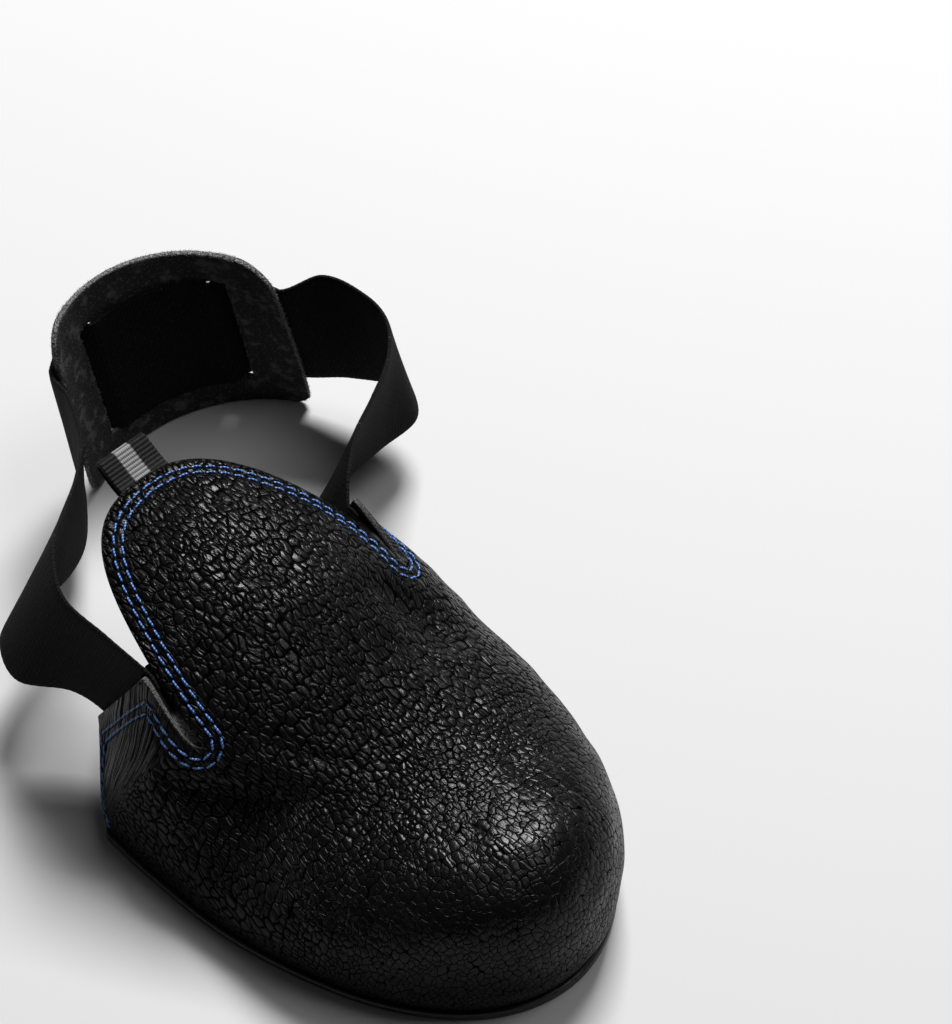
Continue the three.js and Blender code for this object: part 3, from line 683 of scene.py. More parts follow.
def rubber_finish(name, colour):
    """Moulded rubber: nearly smooth, a little mottled, with a fine matt tooth."""
    rubber = Finish(name, Specular_IOR_Level=0.5)
    place = rubber.node("ShaderNodeTexCoord").outputs["Object"]
    tooth = rubber.noise(place, 2600.0, 2.0)
    cloud = rubber.noise(place, 90.0, 3.0)
    rubber.set("Base Color", rubber.mix(cloud, grey(colour * 0.7), grey(colour * 1.3)))
    rubber.set("Roughness", rubber.step(cloud, 0.3, 0.7, 0.3, 0.44))
    rubber.bump(rubber.math("ADD", tooth, cloud), 0.05)
    return rubber.material


def stage_finish(name, colour):
    """Plain pale floor."""
    floor = Finish(name, Roughness=0.95, Specular_IOR_Level=0.1)
    floor.shader.inputs["Base Color"].default_value = (*colour, 1.0)
    return floor.material


# ---- upper: grid, free edge and rows of stitching ------------------------------------------
TOE_ROWS, TONGUE_ROWS, WING_ROWS = 150, 84, 50
COLUMNS_TONGUE, COLUMNS_NOTCH, COLUMNS_WING, COLUMNS_WALL = 42, 8, 40, 12


def side_columns(side):
    """Degrees round the section for one side's columns, the ridge left out."""
    inner, outer = notch_angles(side)
    runs = ((0, inner, COLUMNS_TONGUE), (inner, outer, COLUMNS_NOTCH),
            (outer, 90, COLUMNS_WING), (90, FOOT_ANGLE, COLUMNS_WALL))
    return np.concatenate([np.linspace(a, b, n + 1)[1:] for a, b, n in runs])


def upper_sheet():
    """The leather's outer surface in four patches: toe, tongue and two wings.

    Returns its points, triangles, and how far each point lies out on a wing, from 0 to 1.
    """
    left, right = side_columns(-1), side_columns(1)
    around = np.concatenate([left[::-1], [0], right])
    side = np.concatenate([-np.ones(len(left)), np.ones(len(right) + 1)])
    middle = len(left)
    share = 1 - np.cos(np.pi / 2 * np.linspace(0, 1, TOE_ROWS + 1)[1:])
    toe = upper_point(side[None], around[None], share[:, None] * patch_end(side, around)[None])
    # The toe tip is one point at the waist, with one point for each height below it.
    low = right[right > 90]
    tips = upper_point(np.ones(len(low) + 1), np.concatenate([[90], low]), np.zeros(len(low) + 1))
    tip_number = np.searchsorted(np.concatenate([[90], low]), np.maximum(90, around) - TINY)
    width = len(around)
    toe_grid = np.concatenate([tip_number[None], len(tips) + np.arange(TOE_ROWS * width)
                               .reshape(TOE_ROWS, width)])
    points = [tips, toe.reshape(-1, 3)]
    wing_share = [np.zeros(len(tips) + toe.size // 3)]
    grids = [toe_grid]
    count = len(tips) + TOE_ROWS * width

    inner = slice(middle - COLUMNS_TONGUE, middle + COLUMNS_TONGUE + 1)
    along = np.sin(np.pi / 2 * np.linspace(0, 1, TONGUE_ROWS + 1)[1:-1])
    tongue = tongue_point(side[None, inner], around[None, inner], along[:, None])
    tip = tongue_point(np.ones(1), np.zeros(1), np.ones(1))
    body = count + np.arange(tongue.size // 3).reshape(len(along), -1)
    last = np.full((1, body.shape[1]), count + tongue.size // 3)
    grids.append(np.concatenate([toe_grid[-1:, inner], body, last]))
    points += [tongue.reshape(-1, 3), tip]
    wing_share.append(np.zeros(tongue.size // 3 + 1))
    count += tongue.size // 3 + 1

    for sign in (-1, 1):
        outer = float(by_side(sign, NOTCH_OUTER))
        chosen = (side == sign) & (around >= outer - TINY)
        along = np.linspace(0, 1, WING_ROWS + 1)[1:]
        wing = wing_point(sign, around[chosen][None], along[:, None])
        body = count + np.arange(wing.size // 3).reshape(WING_ROWS, -1)
        grids.append(np.concatenate([toe_grid[-1][chosen][None], body]))
        points.append(wing.reshape(-1, 3))
        wing_share.append(np.repeat(along, chosen.sum()))
        count += wing.size // 3
    faces = np.concatenate([triangles_of(grid) for grid in grids])
    return np.concatenate(points), faces, np.concatenate(wing_share)


def free_edge():
    """The leather's free edge from the left foot round to the right foot, in named runs.

    Every run keeps the leather on its right, seen from outside.
    """
    t = np.linspace(0, 1, 240)
    runs = []
    for side in (-1, 1):
        inner, outer = notch_angles(side)
        angles = outer + (inner - outer) * t
        low = wing_point(side, FOOT_ANGLE, t)
        rear = wing_point(side, FOOT_ANGLE + (outer - FOOT_ANGLE) * t, 1.0)
        top = wing_point(side, outer, 1 - t)
        scoop = upper_point(np.full(len(t), side), angles, patch_end(side, angles))
        tongue = tongue_point(np.full(len(t), side), np.full(len(t), inner), np.sin(np.pi / 2 * t))
        runs.append([("low", low), ("rear", rear), ("top", np.concatenate([top, scoop, tongue]))])
    left, right = runs
    tongue_round = np.concatenate([left[2][1], right[2][1][::-1]])
    return [left[0], left[1], ("top", tongue_round),
            ("rear", right[1][1][::-1]), ("low", right[0][1][::-1])]


def notch_lining(side):
    """Sheet under a notch, from under the tongue's edge to under the wing's, and how far back of
    the notch's foot each point lies."""
    inner, outer = notch_angles(side)
    start = float(by_side(side, NOTCH_BACK))
    far = np.linspace(-4, LINING_REACH[max(0, side)], 60)
    ahead, behind = np.minimum(0, far), np.maximum(0, far)
    sign = np.full(len(far), side)
    run = np.linalg.norm(wing_point(side, outer, 1.0) - wing_point(side, outer, 0.0))
    foot = np.full(len(far), start)
    lines = []
    for angle in (inner - 4, inner, outer, outer + 4):
        a = np.full(len(far), angle)
        if angle <= inner:
            on = tongue_point(sign, a, behind / (TONGUE_TIP - start))
        else:
            on = wing_point(side, a, np.minimum(0.98, behind / run))
        # Ahead of the notch's foot the line runs on as the toe's surface does.
        lines.append(on + upper_point(sign, a, foot + ahead) - upper_point(sign, a, foot))
    lines = np.stack(lines, 1)
    t = np.linspace(0, 1, 25)
    at = np.array([0, 0.33, 0.67, 1])
    i = np.clip(np.searchsorted(at, t, side="right") - 1, 0, 2)
    mix = ((t - at[i]) / (at[i + 1] - at[i]))[None, :, None]
    points = lines[:, i] * (1 - mix) + lines[:, i + 1] * mix
    if side < 0:
        points = points[:, ::-1]
    return *sheet_of(points), np.repeat(far, len(t))


def fibres(points, normals, count, span, seed):
    """Loose fibres on chosen points: thin closed spikes that stand out along the normals, each
    leaning its own way."""
    rng = np.random.default_rng(seed)
    chosen = rng.integers(0, len(points), count)
    lean = unit(rng.normal(size=(count, 3)))
    way = unit(normals[chosen] + 0.9 * lean)
    root = points[chosen] + 0.35 * np.cross(normals[chosen], lean) - 0.12 * normals[chosen]
    side = unit(np.cross(way, unit(rng.normal(size=(count, 3)))))
    other = np.cross(way, side)
    size = rng.uniform(0.035, 0.075, (count, 1))
    corners = [root + size * (side * np.cos(a) + other * np.sin(a))
               for a in 2 * np.pi * np.arange(3) / 3]
    tip = root + way * rng.uniform(*span, (count, 1))
    spikes = np.stack([*corners, tip], 1)
    one = np.array([[0, 2, 1], [0, 1, 3], [1, 2, 3], [2, 0, 3]])
    faces = (one[None] + 4 * np.arange(count)[:, None, None]).reshape(-1, 3)
    return spikes.reshape(-1, 3), faces


def nearest(points, targets):
    """Distance to, and number of, the nearest target, in blocks to save memory."""
    distance, number = np.empty(len(points)), np.empty(len(points), int)
    squares = (targets**2).sum(1)
    for start in range(0, len(points), 4000):
        part = points[start:start + 4000]
        square = (part**2).sum(1)[:, None] + squares - 2 * part @ targets.T
        number[start:start + 4000] = square.argmin(1)
        distance[start:start + 4000] = np.sqrt(np.maximum(square.min(1), 0))
    return distance, number


def folded(points):
    """How far the folds press each point in: depth * exp(-(distance / radius)^2), fading out
    towards both ends of the fold's line as sin(pi t)^0.7."""
    pressed = np.zeros(len(points))
    for line, depth, radius in FOLDS:
        line = spaced(np.array(line, float), 1.0)
        distance, number = nearest(points, line)
        fade = np.sin(np.pi * (number + 0.5) / len(line)) ** 0.7
        pressed += depth * fade * np.exp(-(distance / radius) ** 2)
    return pressed


def stitch_rows(skin, normals):
    """Two rows beside the free edge: each run moved in over the leather by its own inset and
    trimmed where it would come nearer to another run than that run's inset."""
    runs = [(name, spaced(points, 0.5)) for name, points in free_edge()]
    rows = []
    for k in (0, 1):
        kept = []
        for name, points in runs:
            _, number = nearest(points, skin)
            heading = unit(np.gradient(points, axis=0))
            moved = points + np.cross(heading, normals[number]) * ROW_INSET[name][k]
            _, number = nearest(moved, skin)
            lift = ((moved - skin[number]) * normals[number]).sum(1, keepdims=True)
            moved -= normals[number] * lift
            for other, line in runs:
                if line is not points:
                    moved = moved[nearest(moved, line)[0] > ROW_INSET[other][k] - 0.05]
            kept.append(moved)
        row = spaced(np.concatenate(kept), 0.7)
        soft = np.stack([np.convolve(np.pad(row[:, axis], 3, "edge"), np.ones(7) / 7, "valid")
                         for axis in range(3)], 1)
        soft[[0, -1]] = row[[0, -1]]
        rows.append(soft)
    return rows


def stitches(lines, normals, sizes):
    """Threads laid along lines: start and end points, and the skin's normal at the middle."""
    pitch, gap = sizes.stitch * 1000, sizes.gap * 1000
    starts, ends, ups = [], [], []
    for line, up in zip(lines, normals):
        run = line_length(line)
        count = int(run[-1] // (pitch + gap))
        at = (np.arange(count) + 0.5) * (run[-1] / count)
        number = np.minimum(np.searchsorted(run, at), len(up) - 1)
        before, behind = (at_lengths(line, run, at + step) for step in (-0.5, 0.5))
        slant = unit(np.cross(unit(behind - before), up[number])) * sizes.slant * 1000
        starts.append(at_lengths(line, run, at - pitch / 2) + slant)
        ends.append(at_lengths(line, run, at + pitch / 2) - slant)
        ups.append(up[number])
    return np.concatenate(starts), np.concatenate(ends), np.concatenate(ups)


def thread_mesh(start, end, up, radius):
    """Every stitch at once: a round thread whose middle arches up by 0.9 radius and whose
    radius is r * (1 - |2t-1|^6)^(1/2), closed at both ends on a single point."""
    rings, spokes = 7, 7
    t = (1 - np.cos(np.pi * (np.arange(rings) + 0.6) / (rings + 0.2))) / 2
    angle = 2 * np.pi * np.arange(spokes) / spokes
    along = end - start
    side = unit(np.cross(along, up))
    top = unit(np.cross(side, along))
    arch = (np.sin(np.pi * t) * 1.15 - 0.45) * radius
    swell = radius * np.sqrt(1 - np.abs(2 * t - 1) ** 6)
    centre = start[:, None] + along[:, None] * t[:, None] + top[:, None] * arch[:, None]
    circle = (side[:, None] * np.cos(angle)[:, None] + top[:, None] * np.sin(angle)[:, None])
    tube = centre[:, :, None] + circle[:, None] * swell[:, None, None]
    sunk = -top * radius * 0.45
    count = len(start)
    points = np.concatenate([(start + sunk)[:, None], tube.reshape(count, -1, 3),
                             (end + sunk)[:, None]], 1)
    grid = 1 + np.arange(rings * spokes).reshape(rings, spokes)
    grid = np.concatenate([grid, grid[:, :1]], 1)
    grid = np.concatenate([np.zeros((1, spokes + 1), int), grid,
                           np.full((1, spokes + 1), rings * spokes + 1)])
    one = triangles_of(grid)
    size = points.shape[1]
    faces = (one[None] + size * np.arange(count)[:, None, None]).reshape(-1, 3)
    length = np.linalg.norm(along, axis=1)
    run = np.concatenate([[0], np.repeat(t, spokes), [1]])
    turn = np.concatenate([[0], np.tile(angle, rings), [0]])
    weave = np.stack([length[:, None] * run, np.broadcast_to(turn, (count, size)),
                      np.broadcast_to(np.arange(count)[:, None], (count, size))], -1)
    return points.reshape(-1, 3), faces, weave.reshape(-1, 3)


# ---- layout of the grain --------------------------------------------------------------------
SECTION_ROUND, ARC_SHARE = 2.2, 0.87


def unrolled(points):
    """The upper laid out nearly flat, in millimetres: straight out from the ridge behind FAN,
    fanned round a centre on the ridge in front of it.

    The distance out is the arc of a superellipse section, reach * s(angle), plus the drop below
    the waist, taken as arc^0.87 * reach^0.13 to share the stretch of the fan. The section's arc
    is read between those of two superellipses, 0.6 and 1 times as high as they are wide."""
    x, back, z = points.T
    ahead = np.maximum(0, FAN - back)
    turn = np.arctan2(x, ahead)
    y = np.linspace(0, FAN, 200)
    fan = np.interp(np.abs(turn), np.arctan2(half_width(y), FAN - y),
                    np.hypot(half_width(y), FAN - y))
    reach = np.where(back < FAN, fan, half_width(back))
    rise = ridge_rise(np.maximum(back, FAN))
    angle = np.arctan2(np.hypot(x, ahead) / reach, np.maximum(0, z - WAIST) / rise)
    a = np.linspace(0, np.pi / 2, 91)
    size = (np.sin(a) ** SECTION_ROUND + np.cos(a) ** SECTION_ROUND) ** (-1 / SECTION_ROUND)
    low, tall = (np.interp(angle, a, line_length(
        np.stack([size * np.sin(a), k * size * np.cos(a), 0 * a], 1))) for k in (0.6, 1.0))
    arc = reach * (low + (tall - low) * (rise / reach - 0.6) / 0.4) + np.maximum(0, WAIST - z)
    out = arc**ARC_SHARE * reach ** (1 - ARC_SHARE)
    return out * np.sin(turn), np.maximum(back, FAN) - out * np.cos(turn)


def stretched_grain(points, wing):
    """Where each point lies in the flat grain pattern: pebbles drawn out along the tongue, and
    into fine lines running down and forward over the wings.

    Along the shoe the coordinate is the integral of 1 / stretch(y); on a wing the distance down,
    counted from mid-height, is scaled by 1 - 0.74 w and the distance along by 1 + 0.8 w."""
    out, back = unrolled(points)
    at = np.linspace(-60, 190, 251)
    share = 1 - 0.36 * smoothstep(25, 75, at) - 0.08 * smoothstep(125, 160, at)
    along = np.concatenate([[0], np.cumsum((share[1:] + share[:-1]) / 2)])
    pulled = smoothstep(0.0, 0.4, wing)
    bend = 0.2 * (np.abs(out) - 75) + 1.2 * np.maximum(0, np.abs(out) - 84)
    lean = np.interp(back, at, along) + pulled * bend
    middle = 60 * np.sign(out)
    return np.stack([middle + (out - middle) * (1 - 0.74 * pulled),
                     lean + pulled * 0.8 * (back - NOTCH_BACK[0])], 1)


# ---- heel pad, band, loop and sole ---------------------------------------------------------
def pad_point(along, height, out):
    """Point on the pad: distance along its arc, height, and distance out from its middle."""
    along, height, out = np.broadcast_arrays(*(np.asarray(v, float) for v in (along, height, out)))
    v = (height / PAD_HEIGHT)[..., None]
    arc = PAD_ARCS[0] + (PAD_ARCS[1] - PAD_ARCS[0]) * v
    angle = np.radians(arc[..., 3]) + along / arc[..., 2]
    x = arc[..., 0] + np.sin(angle) * (arc[..., 2] + out)
    y = arc[..., 1] + np.cos(angle) * (arc[..., 2] + out)
    return np.stack([x, y, height + PAD_LIFT], -1)


def pad_reach(height):
    """Half length of the pad at a height, with quarter circles at its corners."""
    def corner(depth, r):
        return r - np.sqrt(np.maximum(0, r * r - np.maximum(0, r - depth) ** 2))
    return (PAD_HALF - corner(PAD_HEIGHT - height, PAD_TOP_CORNER)
            - corner(height, PAD_FOOT_CORNER))


def pad_sheet():
    """Grid over the pad with its two slots left open; columns beyond a slot draw in with the
    rounded corners."""
    def run(start, stop, step):
        return np.linspace(start, stop, int(round(abs(stop - start) / step)) + 1)[1:]
    half = np.concatenate([run(0, SLOT_INNER, 0.9), run(SLOT_INNER, SLOT_OUTER, 0.9),
                           run(SLOT_OUTER, PAD_HALF, 0.75)])
    s = np.concatenate([-half[::-1], [0], half])
    foot = PAD_FOOT_CORNER * (1 - np.cos(np.pi / 2 * np.linspace(0, 1, 8)))
    top = SLOT_HIGH + (PAD_HEIGHT - SLOT_HIGH) * np.sin(np.pi / 2 * np.linspace(0, 1, 15))
    z = np.concatenate([foot, run(PAD_FOOT_CORNER, SLOT_LOW, 0.9),
                        run(SLOT_LOW, SLOT_HIGH, 0.9), top[1:]])
    beyond = np.clip((np.abs(s) - SLOT_OUTER) / (PAD_HALF - SLOT_OUTER), 0, 1)
    along = np.sign(s) * (np.abs(s) - beyond * (PAD_HALF - pad_reach(z)[:, None]))
    height = np.broadcast_to(z[:, None], along.shape)
    points = pad_point(along, height, 0)
    number = np.arange(along.size).reshape(along.shape)
    middle_z, middle_s = (z[1:] + z[:-1]) / 2, np.abs(s[1:] + s[:-1]) / 2
    tall = (middle_z > SLOT_LOW) & (middle_z < SLOT_HIGH)
    wide = (middle_s > SLOT_INNER) & (middle_s < SLOT_OUTER)
    solid = ~(tall[:, None] & wide[None])
    a, b = number[:-1, 1:][solid], number[:-1, :-1][solid]
    c, d = number[1:, :-1][solid], number[1:, 1:][solid]
    faces = np.concatenate([np.stack([a, b, c], 1), np.stack([a, c, d], 1)])
    used, faces = compact(faces, along.size)
    flat = np.stack([along, height, 0 * along], -1).reshape(-1, 3)
    return points.reshape(-1, 3)[used], faces, flat[used]


def band_on_pad(along):
    """Band lines on the pad: outside it beyond the slots, inside it between them."""
    t = smoothstep(SLOT_INNER + SLOT_MARGIN, SLOT_OUTER - SLOT_MARGIN, np.abs(along))
    out = (2 * t - 1) * (PAD_THICKNESS / 2 + BAND_PAD_GAP + BAND_THICKNESS / 2)
    high, low = BAND_ON_PAD
    heights = np.array([high, (high + low) / 2, low])
    return pad_point(np.asarray(along)[..., None], heights, out[..., None])


def band_under_wing(side, along):
    """Band lines just inside the leather, midway between the wing's two long edges."""
    outer = float(by_side(side, NOTCH_OUTER))
    def wing(down, on):
        return wing_point(side, outer + (FOOT_ANGLE - outer) * np.asarray(down, float), on)
    span = np.linalg.norm(wing(0, along) - wing(1, along))
    share = min(BAND_SHARE, BAND_WIDTH / span / 2)
    down = np.array([0.5 - share, 0.5, 0.5 + share])
    p = wing(down, along)
    across = wing(np.minimum(1, down + PROBE), along) - wing(np.maximum(0, down - PROBE), along)
    forward = p - wing(down, along - PROBE)
    deep = LEATHER + BAND_CLEAR + BAND_THICKNESS / 2
    return p - side * deep * unit(np.cross(across, forward))


def free_band(side, table, count):
    """Smooth run of the band from under a wing to the pad, at equal steps of its length."""
    top, foot = table[:, :3], table[:, 3:]
    ends = band_on_pad(side * np.array([PAD_HALF, SLOT_OUTER]))
    stations = np.concatenate([
        [band_under_wing(side, along) for along in (BAND_TUCK, BAND_HELD, 1.0)],
        np.stack([top, (top + foot) / 2, foot], 1),
        ends,
    ])
    run = line_length(stations[:, 1])
    at = np.linspace(0, run[-2], count)
    return np.stack([np.stack([smooth(run, stations[:, k, axis], at) for axis in range(3)], -1)
                     for k in range(3)], 1)


def band_sheet():
    """The band's middle sheet, its across shape a parabola through top, middle and bottom."""
    left = free_band(-1, BAND_LEFT, 190)
    right = free_band(1, BAND_RIGHT, 180)[::-1]
    s = np.linspace(0, PAD_HALF, 66)[1:-1]
    on_pad = band_on_pad(np.concatenate([-s[::-1], [0], s]))
    lines = np.concatenate([left, on_pad, right])
    t = np.linspace(0, 1, 41)[None, :, None]
    top, middle, foot = lines[:, None, 0], lines[:, None, 1], lines[:, None, 2]
    points = top * (1 - t) * (1 - 2 * t) + middle * 4 * t * (1 - t) + foot * t * (2 * t - 1)
    run = line_length(lines[:, 1])
    weave = np.stack(np.broadcast_arrays(run[:, None], (t[..., 0] - 0.5) * BAND_WIDTH, 0.0), -1)
    return *sheet_of(points), weave.reshape(-1, 3)


def loop_sheet():
    """Folded webbing: out from under the tongue tip, round a half circle and back beneath."""
    drop = LEATHER + SEAT_GAP + LOOP_THICKNESS / 2 + LOOP_SAG
    layer = (LOOP_THICKNESS + LOOP_GAP) / 2
    seam = float(seam_back(1, np.float64(0)))
    y = TONGUE_TIP - np.linspace(LOOP_TUCKED, LOOP_KNEE, 20)
    leather = tongue_point(np.ones(20), np.zeros(20), (y - seam) / (TONGUE_TIP - seam))
    z = leather[:, 2] - drop - layer
    share = np.linspace(0, 1, 37)[1:]
    tilt = np.radians(LOOP_RISE) * np.minimum(1, share * LOOP_QUICK)
    step = LOOP_VISIBLE / len(share)
    y = np.concatenate([y, y[-1] + np.cumsum(step * np.cos(tilt))])
    z = np.concatenate([z, z[-1] + np.cumsum(step * np.sin(tilt))])
    tilt = np.concatenate([np.zeros(20), tilt])
    up = np.stack([0 * tilt, -np.sin(tilt), np.cos(tilt)], 1)
    middle = np.stack([0 * y, y, z], 1)
    a = tilt[-1] + np.pi / 2 - np.pi * np.linspace(0, 1, 12)[1:-1]
    turn = middle[-1] + layer * np.stack([0 * a, np.cos(a), np.sin(a)], 1)
    path = np.concatenate([middle + up * layer, turn, (middle - up * layer)[::-1]])
    x = np.linspace(-0.5, 0.5, 25) * LOOP_WIDTH
    run = line_length(path)
    points = path[:, None] + np.stack([x + LOOP_SHIFT - TONGUE_SKEW, 0 * x, 0 * x], 1)[None]
    weave = np.stack(np.broadcast_arrays(run[:, None], x[None], 0.0), -1)
    return *sheet_of(points), weave.reshape(-1, 3)


def sole_sheet():
    """Middle sheet of the sole: rows across, from the toe tip to the square rear edge."""
    share = 1 - np.cos(np.pi / 2 * np.linspace(0, 1, 110))
    back = (SOLE_BACK - SOLE_CORNER) * share
    foot, ahead = side_wall(FOOT_ANGLE, back), side_wall(FOOT_ANGLE, back + PROBE)
    outward = unit(np.stack([(ahead - foot)[:, 1], -(ahead - foot)[:, 0], 0 * back], 1))
    outward[0] = (0, -1, 0)
    edge = foot + outward * SOLE_PROUD
    edge[0, 0] = 0
    a = np.pi / 2 * np.linspace(0, 1, 9)[1:]
    corner = edge[-1] + SOLE_CORNER * np.stack([np.cos(a) - 1, np.sin(a), 0 * a], 1)
    edge = np.concatenate([edge, corner])
    across = np.sin(np.pi / 2 * np.linspace(-1, 1, 91))
    points = np.stack(np.broadcast_arrays(across * edge[:, :1], edge[:, 1:2],
                                          SOLE_THICKNESS / 2), -1)
    number = np.arange(points.size // 3).reshape(points.shape[:2])
    number[0] = number[0, 0]
    used, faces = compact(triangles_of(number), number.size)
    return points.reshape(-1, 3)[used], faces


# ---- sizes and colours a user would change --------------------------------------------------
def length(name, text, mm):
    """A length in metres, its default given in millimetres."""
    return bpy.props.FloatProperty(name=name, description=text, default=mm / 1000,
                                   unit="LENGTH", precision=4)


def colour(name, text, rgb):
    """A colour of red, green and blue from 0 to 1."""
    return bpy.props.FloatVectorProperty(name=name, description=text, default=rgb, size=3,
                                         subtype="COLOR", min=0, max=1)


def share(name, text, value):
    """A number from 0 to 1."""
    return bpy.props.FloatProperty(name=name, description=text, default=value, min=0, max=1,
                                   subtype="FACTOR")


class OvershoeLeather(bpy.types.PropertyGroup):
    """Grain, greys and relief of the upper and the heel pad."""
    pebble: length("Pebble", "Size of one pebble of the grain", 2.3)
    relief: length("Grain depth", "How deep the creases of the grain are", 0.6)
    black: share("Leather grey", "How light the grain side is", 0.0035)
    flesh: share("Flesh grey", "How light the inside of the leather is", 0.05)
    rim: share("Edge grey", "How light the raw cut edge of the leather is", 0.14)
    gloss: share("Roughness", "Roughness of the grain side", 0.25)
    unevenness: length("Unevenness", "Height of the soft waves in the upper", 0.45)
    groove: length("Stitch groove", "How far a row of stitching pulls the leather in", 0.32)


class OvershoeThread(bpy.types.PropertyGroup):
    """Stitches beside the free edge."""
    stitch: length("Stitch", "Length of one stitch", 3.3)
    gap: length("Gap", "Leather between two stitches", 0.5)
    radius: length("Radius", "Radius of the thread", 0.33)
    slant: length("Slant", "How far a stitch's ends lie off its row", 0.16)
    blue: colour("Colour", "Thread colour", (0.055, 0.15, 0.42))


class OvershoeStrap(bpy.types.PropertyGroup):
    """Heel band, pull loop and the greys of the heel pad."""
    rib: length("Rib", "Distance between the ribs of the elastic", 1.05)
    black: share("Elastic grey", "How light the elastic is", 0.005)
    webbing: share("Webbing grey", "How light the webbing's sides are", 0.006)
    stripe: share("Stripe grey", "How light the webbing's stripe is", 0.22)
    pad_flesh: share("Pad grey", "How light the inside of the heel pad is", 0.03)
    pad_rim: share("Pad edge grey", "How light the raw cut edge of the heel pad is", 0.3)


class OvershoeSole(bpy.types.PropertyGroup):
    """Rubber sole and its tread."""
    tread: length("Tread", "Depth of the grooves under the sole", 0.7)
    pitch: length("Tread pitch", "Distance between the grooves", 6.5)
    black: share("Rubber grey", "How light the rubber is", 0.012)


class OvershoeStage(bpy.types.PropertyGroup):
    """Floor, lamps and sky."""
    floor: colour("Floor", "Colour of the floor", (0.5, 0.5, 0.5))
    key_power: bpy.props.FloatProperty(name="Key light", description="Power of the large lamp",
                                       default=88.0, min=0, unit="POWER")
    world: share("Sky", "Brightness of the even light all round", 0.04)


# ---- one operator for each piece ------------------------------------------------------------
class BuildUpper(bpy.types.Operator):
    """Leather upper, and the two rows of blue stitching that follow its free edge."""
    bl_idname = "overshoe.upper"
    bl_label = "Upper and stitching"

    def execute(self, context):
        leather, thread = context.scene.overshoe_leather, context.scene.overshoe_thread
        sheet, faces, wing = upper_sheet()
        normals = normals_of(sheet, faces)
        sheet = sheet - normals * folded(sheet)[:, None]
        normals = normals_of(sheet, faces)
        rows = stitch_rows(sheet, normals)
        edge = nearest(sheet, np.concatenate([run for _, run in free_edge()]))[0]
        row = nearest(sheet, np.concatenate(rows))[0]
        calm = smoothstep(4, 16, sheet[:, 2]) * smoothstep(0, 9, edge)
        wave = 0.65 * ripple(sheet, 26, 3) + 0.35 * ripple(sheet, 11, 4)
        raised = leather.unevenness * 1000 * calm * wave
        raised -= leather.groove * 1000 * np.exp(-(row / 0.9) ** 2)
        raised += 0.1 * np.exp(-((row - 2.2) / 1.2) ** 2) - 0.25 * np.exp(-edge / 0.8)
        points, faces, source, depth = wall(sheet, faces, raised, LEATHER, 0.3)
        finish = leather_finish("black_pebbled_leather", leather.black, leather.flesh,
                                leather.rim, leather.pebble * 1000, leather.relief * 1000,
                                leather.gloss)
        grain = np.column_stack([stretched_grain(sheet, wing)[source], depth * LEATHER])
        relief = 0.5 + 0.5 * smoothstep(22, 66, sheet[:, 1])
        # Low down by the sole the leather is rougher, and its reflection is dimmed as painted
        # shade.
        dull_and_shaded = 1 - smoothstep(12, 32, sheet[:, 2])
        make_piece("leather_upper", points, faces, finish,
                   {"grain": grain, "depth": depth, "edge": edge[source],
                    "relief": relief[source], "dull_and_shaded": dull_and_shaded[source],
                    "pull": smoothstep(0, 0.3, wing)[source]},
                   replaces=("upper",))

        self.linings(leather)

        ups = [normals[nearest(line, sheet)[1]] for line in rows]
        rows = [line + up * (raised[nearest(line, sheet)[1]][:, None] + 0.1)
                for line, up in zip(rows, ups)]
        start, end, up = stitches(rows, ups, thread)
        points, faces, weave = thread_mesh(start, end, up, thread.radius * 1000)
        make_piece("upper_stitching", points, faces,
                   thread_finish("blue_thread", thread.blue), {"weave": weave})
        return {"FINISHED"}

    def linings(self, leather):
        """A dark lining under each notch, with a pale patch at the notch's foot."""
        for side, label, pale in zip((-1, 1), ("left", "right"), LINING_PALE):
            under, faces, far = notch_lining(side)
            patch = smoothstep(-1, 1, far) * smoothstep(10, 7, far)
            points, faces, source, _ = wall(under, faces, -LEATHER - 0.15, LEATHER + 0.6, 0.1)
            # The pale patch is raw fibre; on the left it is brightened with painted light.
            finish = lining_finish(f"{label}_lining", leather.black, leather.rim * pale)
            make_piece(f"{label}_notch_lining", points, faces, finish,
                       {"grain": points, "pale": patch[source]})


class BuildSole(bpy.types.Operator):
    """Flat rubber sole with a rounded edge and shallow wavy grooves underneath."""
    bl_idname = "overshoe.sole"
    bl_label = "Sole"

    def execute(self, context):
        rubber = context.scene.overshoe_sole
        sheet, faces = sole_sheet()
        half = SOLE_THICKNESS / 2
        rim = sheet[np.unique(rim_edges(faces))]
        inner = nearest(sheet, rim)[0]
        inset = smoothstep(3.0, 5.0, inner)
        # Both faces fall away at the edge by a quarter circle, r - sqrt(r^2 - (r - d)^2).
        turn = SOLE_EDGE - np.sqrt(SOLE_EDGE**2 - np.maximum(0, SOLE_EDGE - inner) ** 2)
        wave = np.sin(2 * np.pi * (sheet[:, 1] + 1.6 * np.sin(sheet[:, 0] / 3.2))
                      / (rubber.pitch * 1000))
        cut = rubber.tread * 1000 * inset * smoothstep(0.35, 0.8, wave)
        points, faces, _, _ = wall(sheet, faces, half - turn, half - turn - cut, 0.0, 3)
        make_piece("rubber_sole", points, faces, rubber_finish("black_rubber", rubber.black),
                   replaces=("sole",))
        return {"FINISHED"}


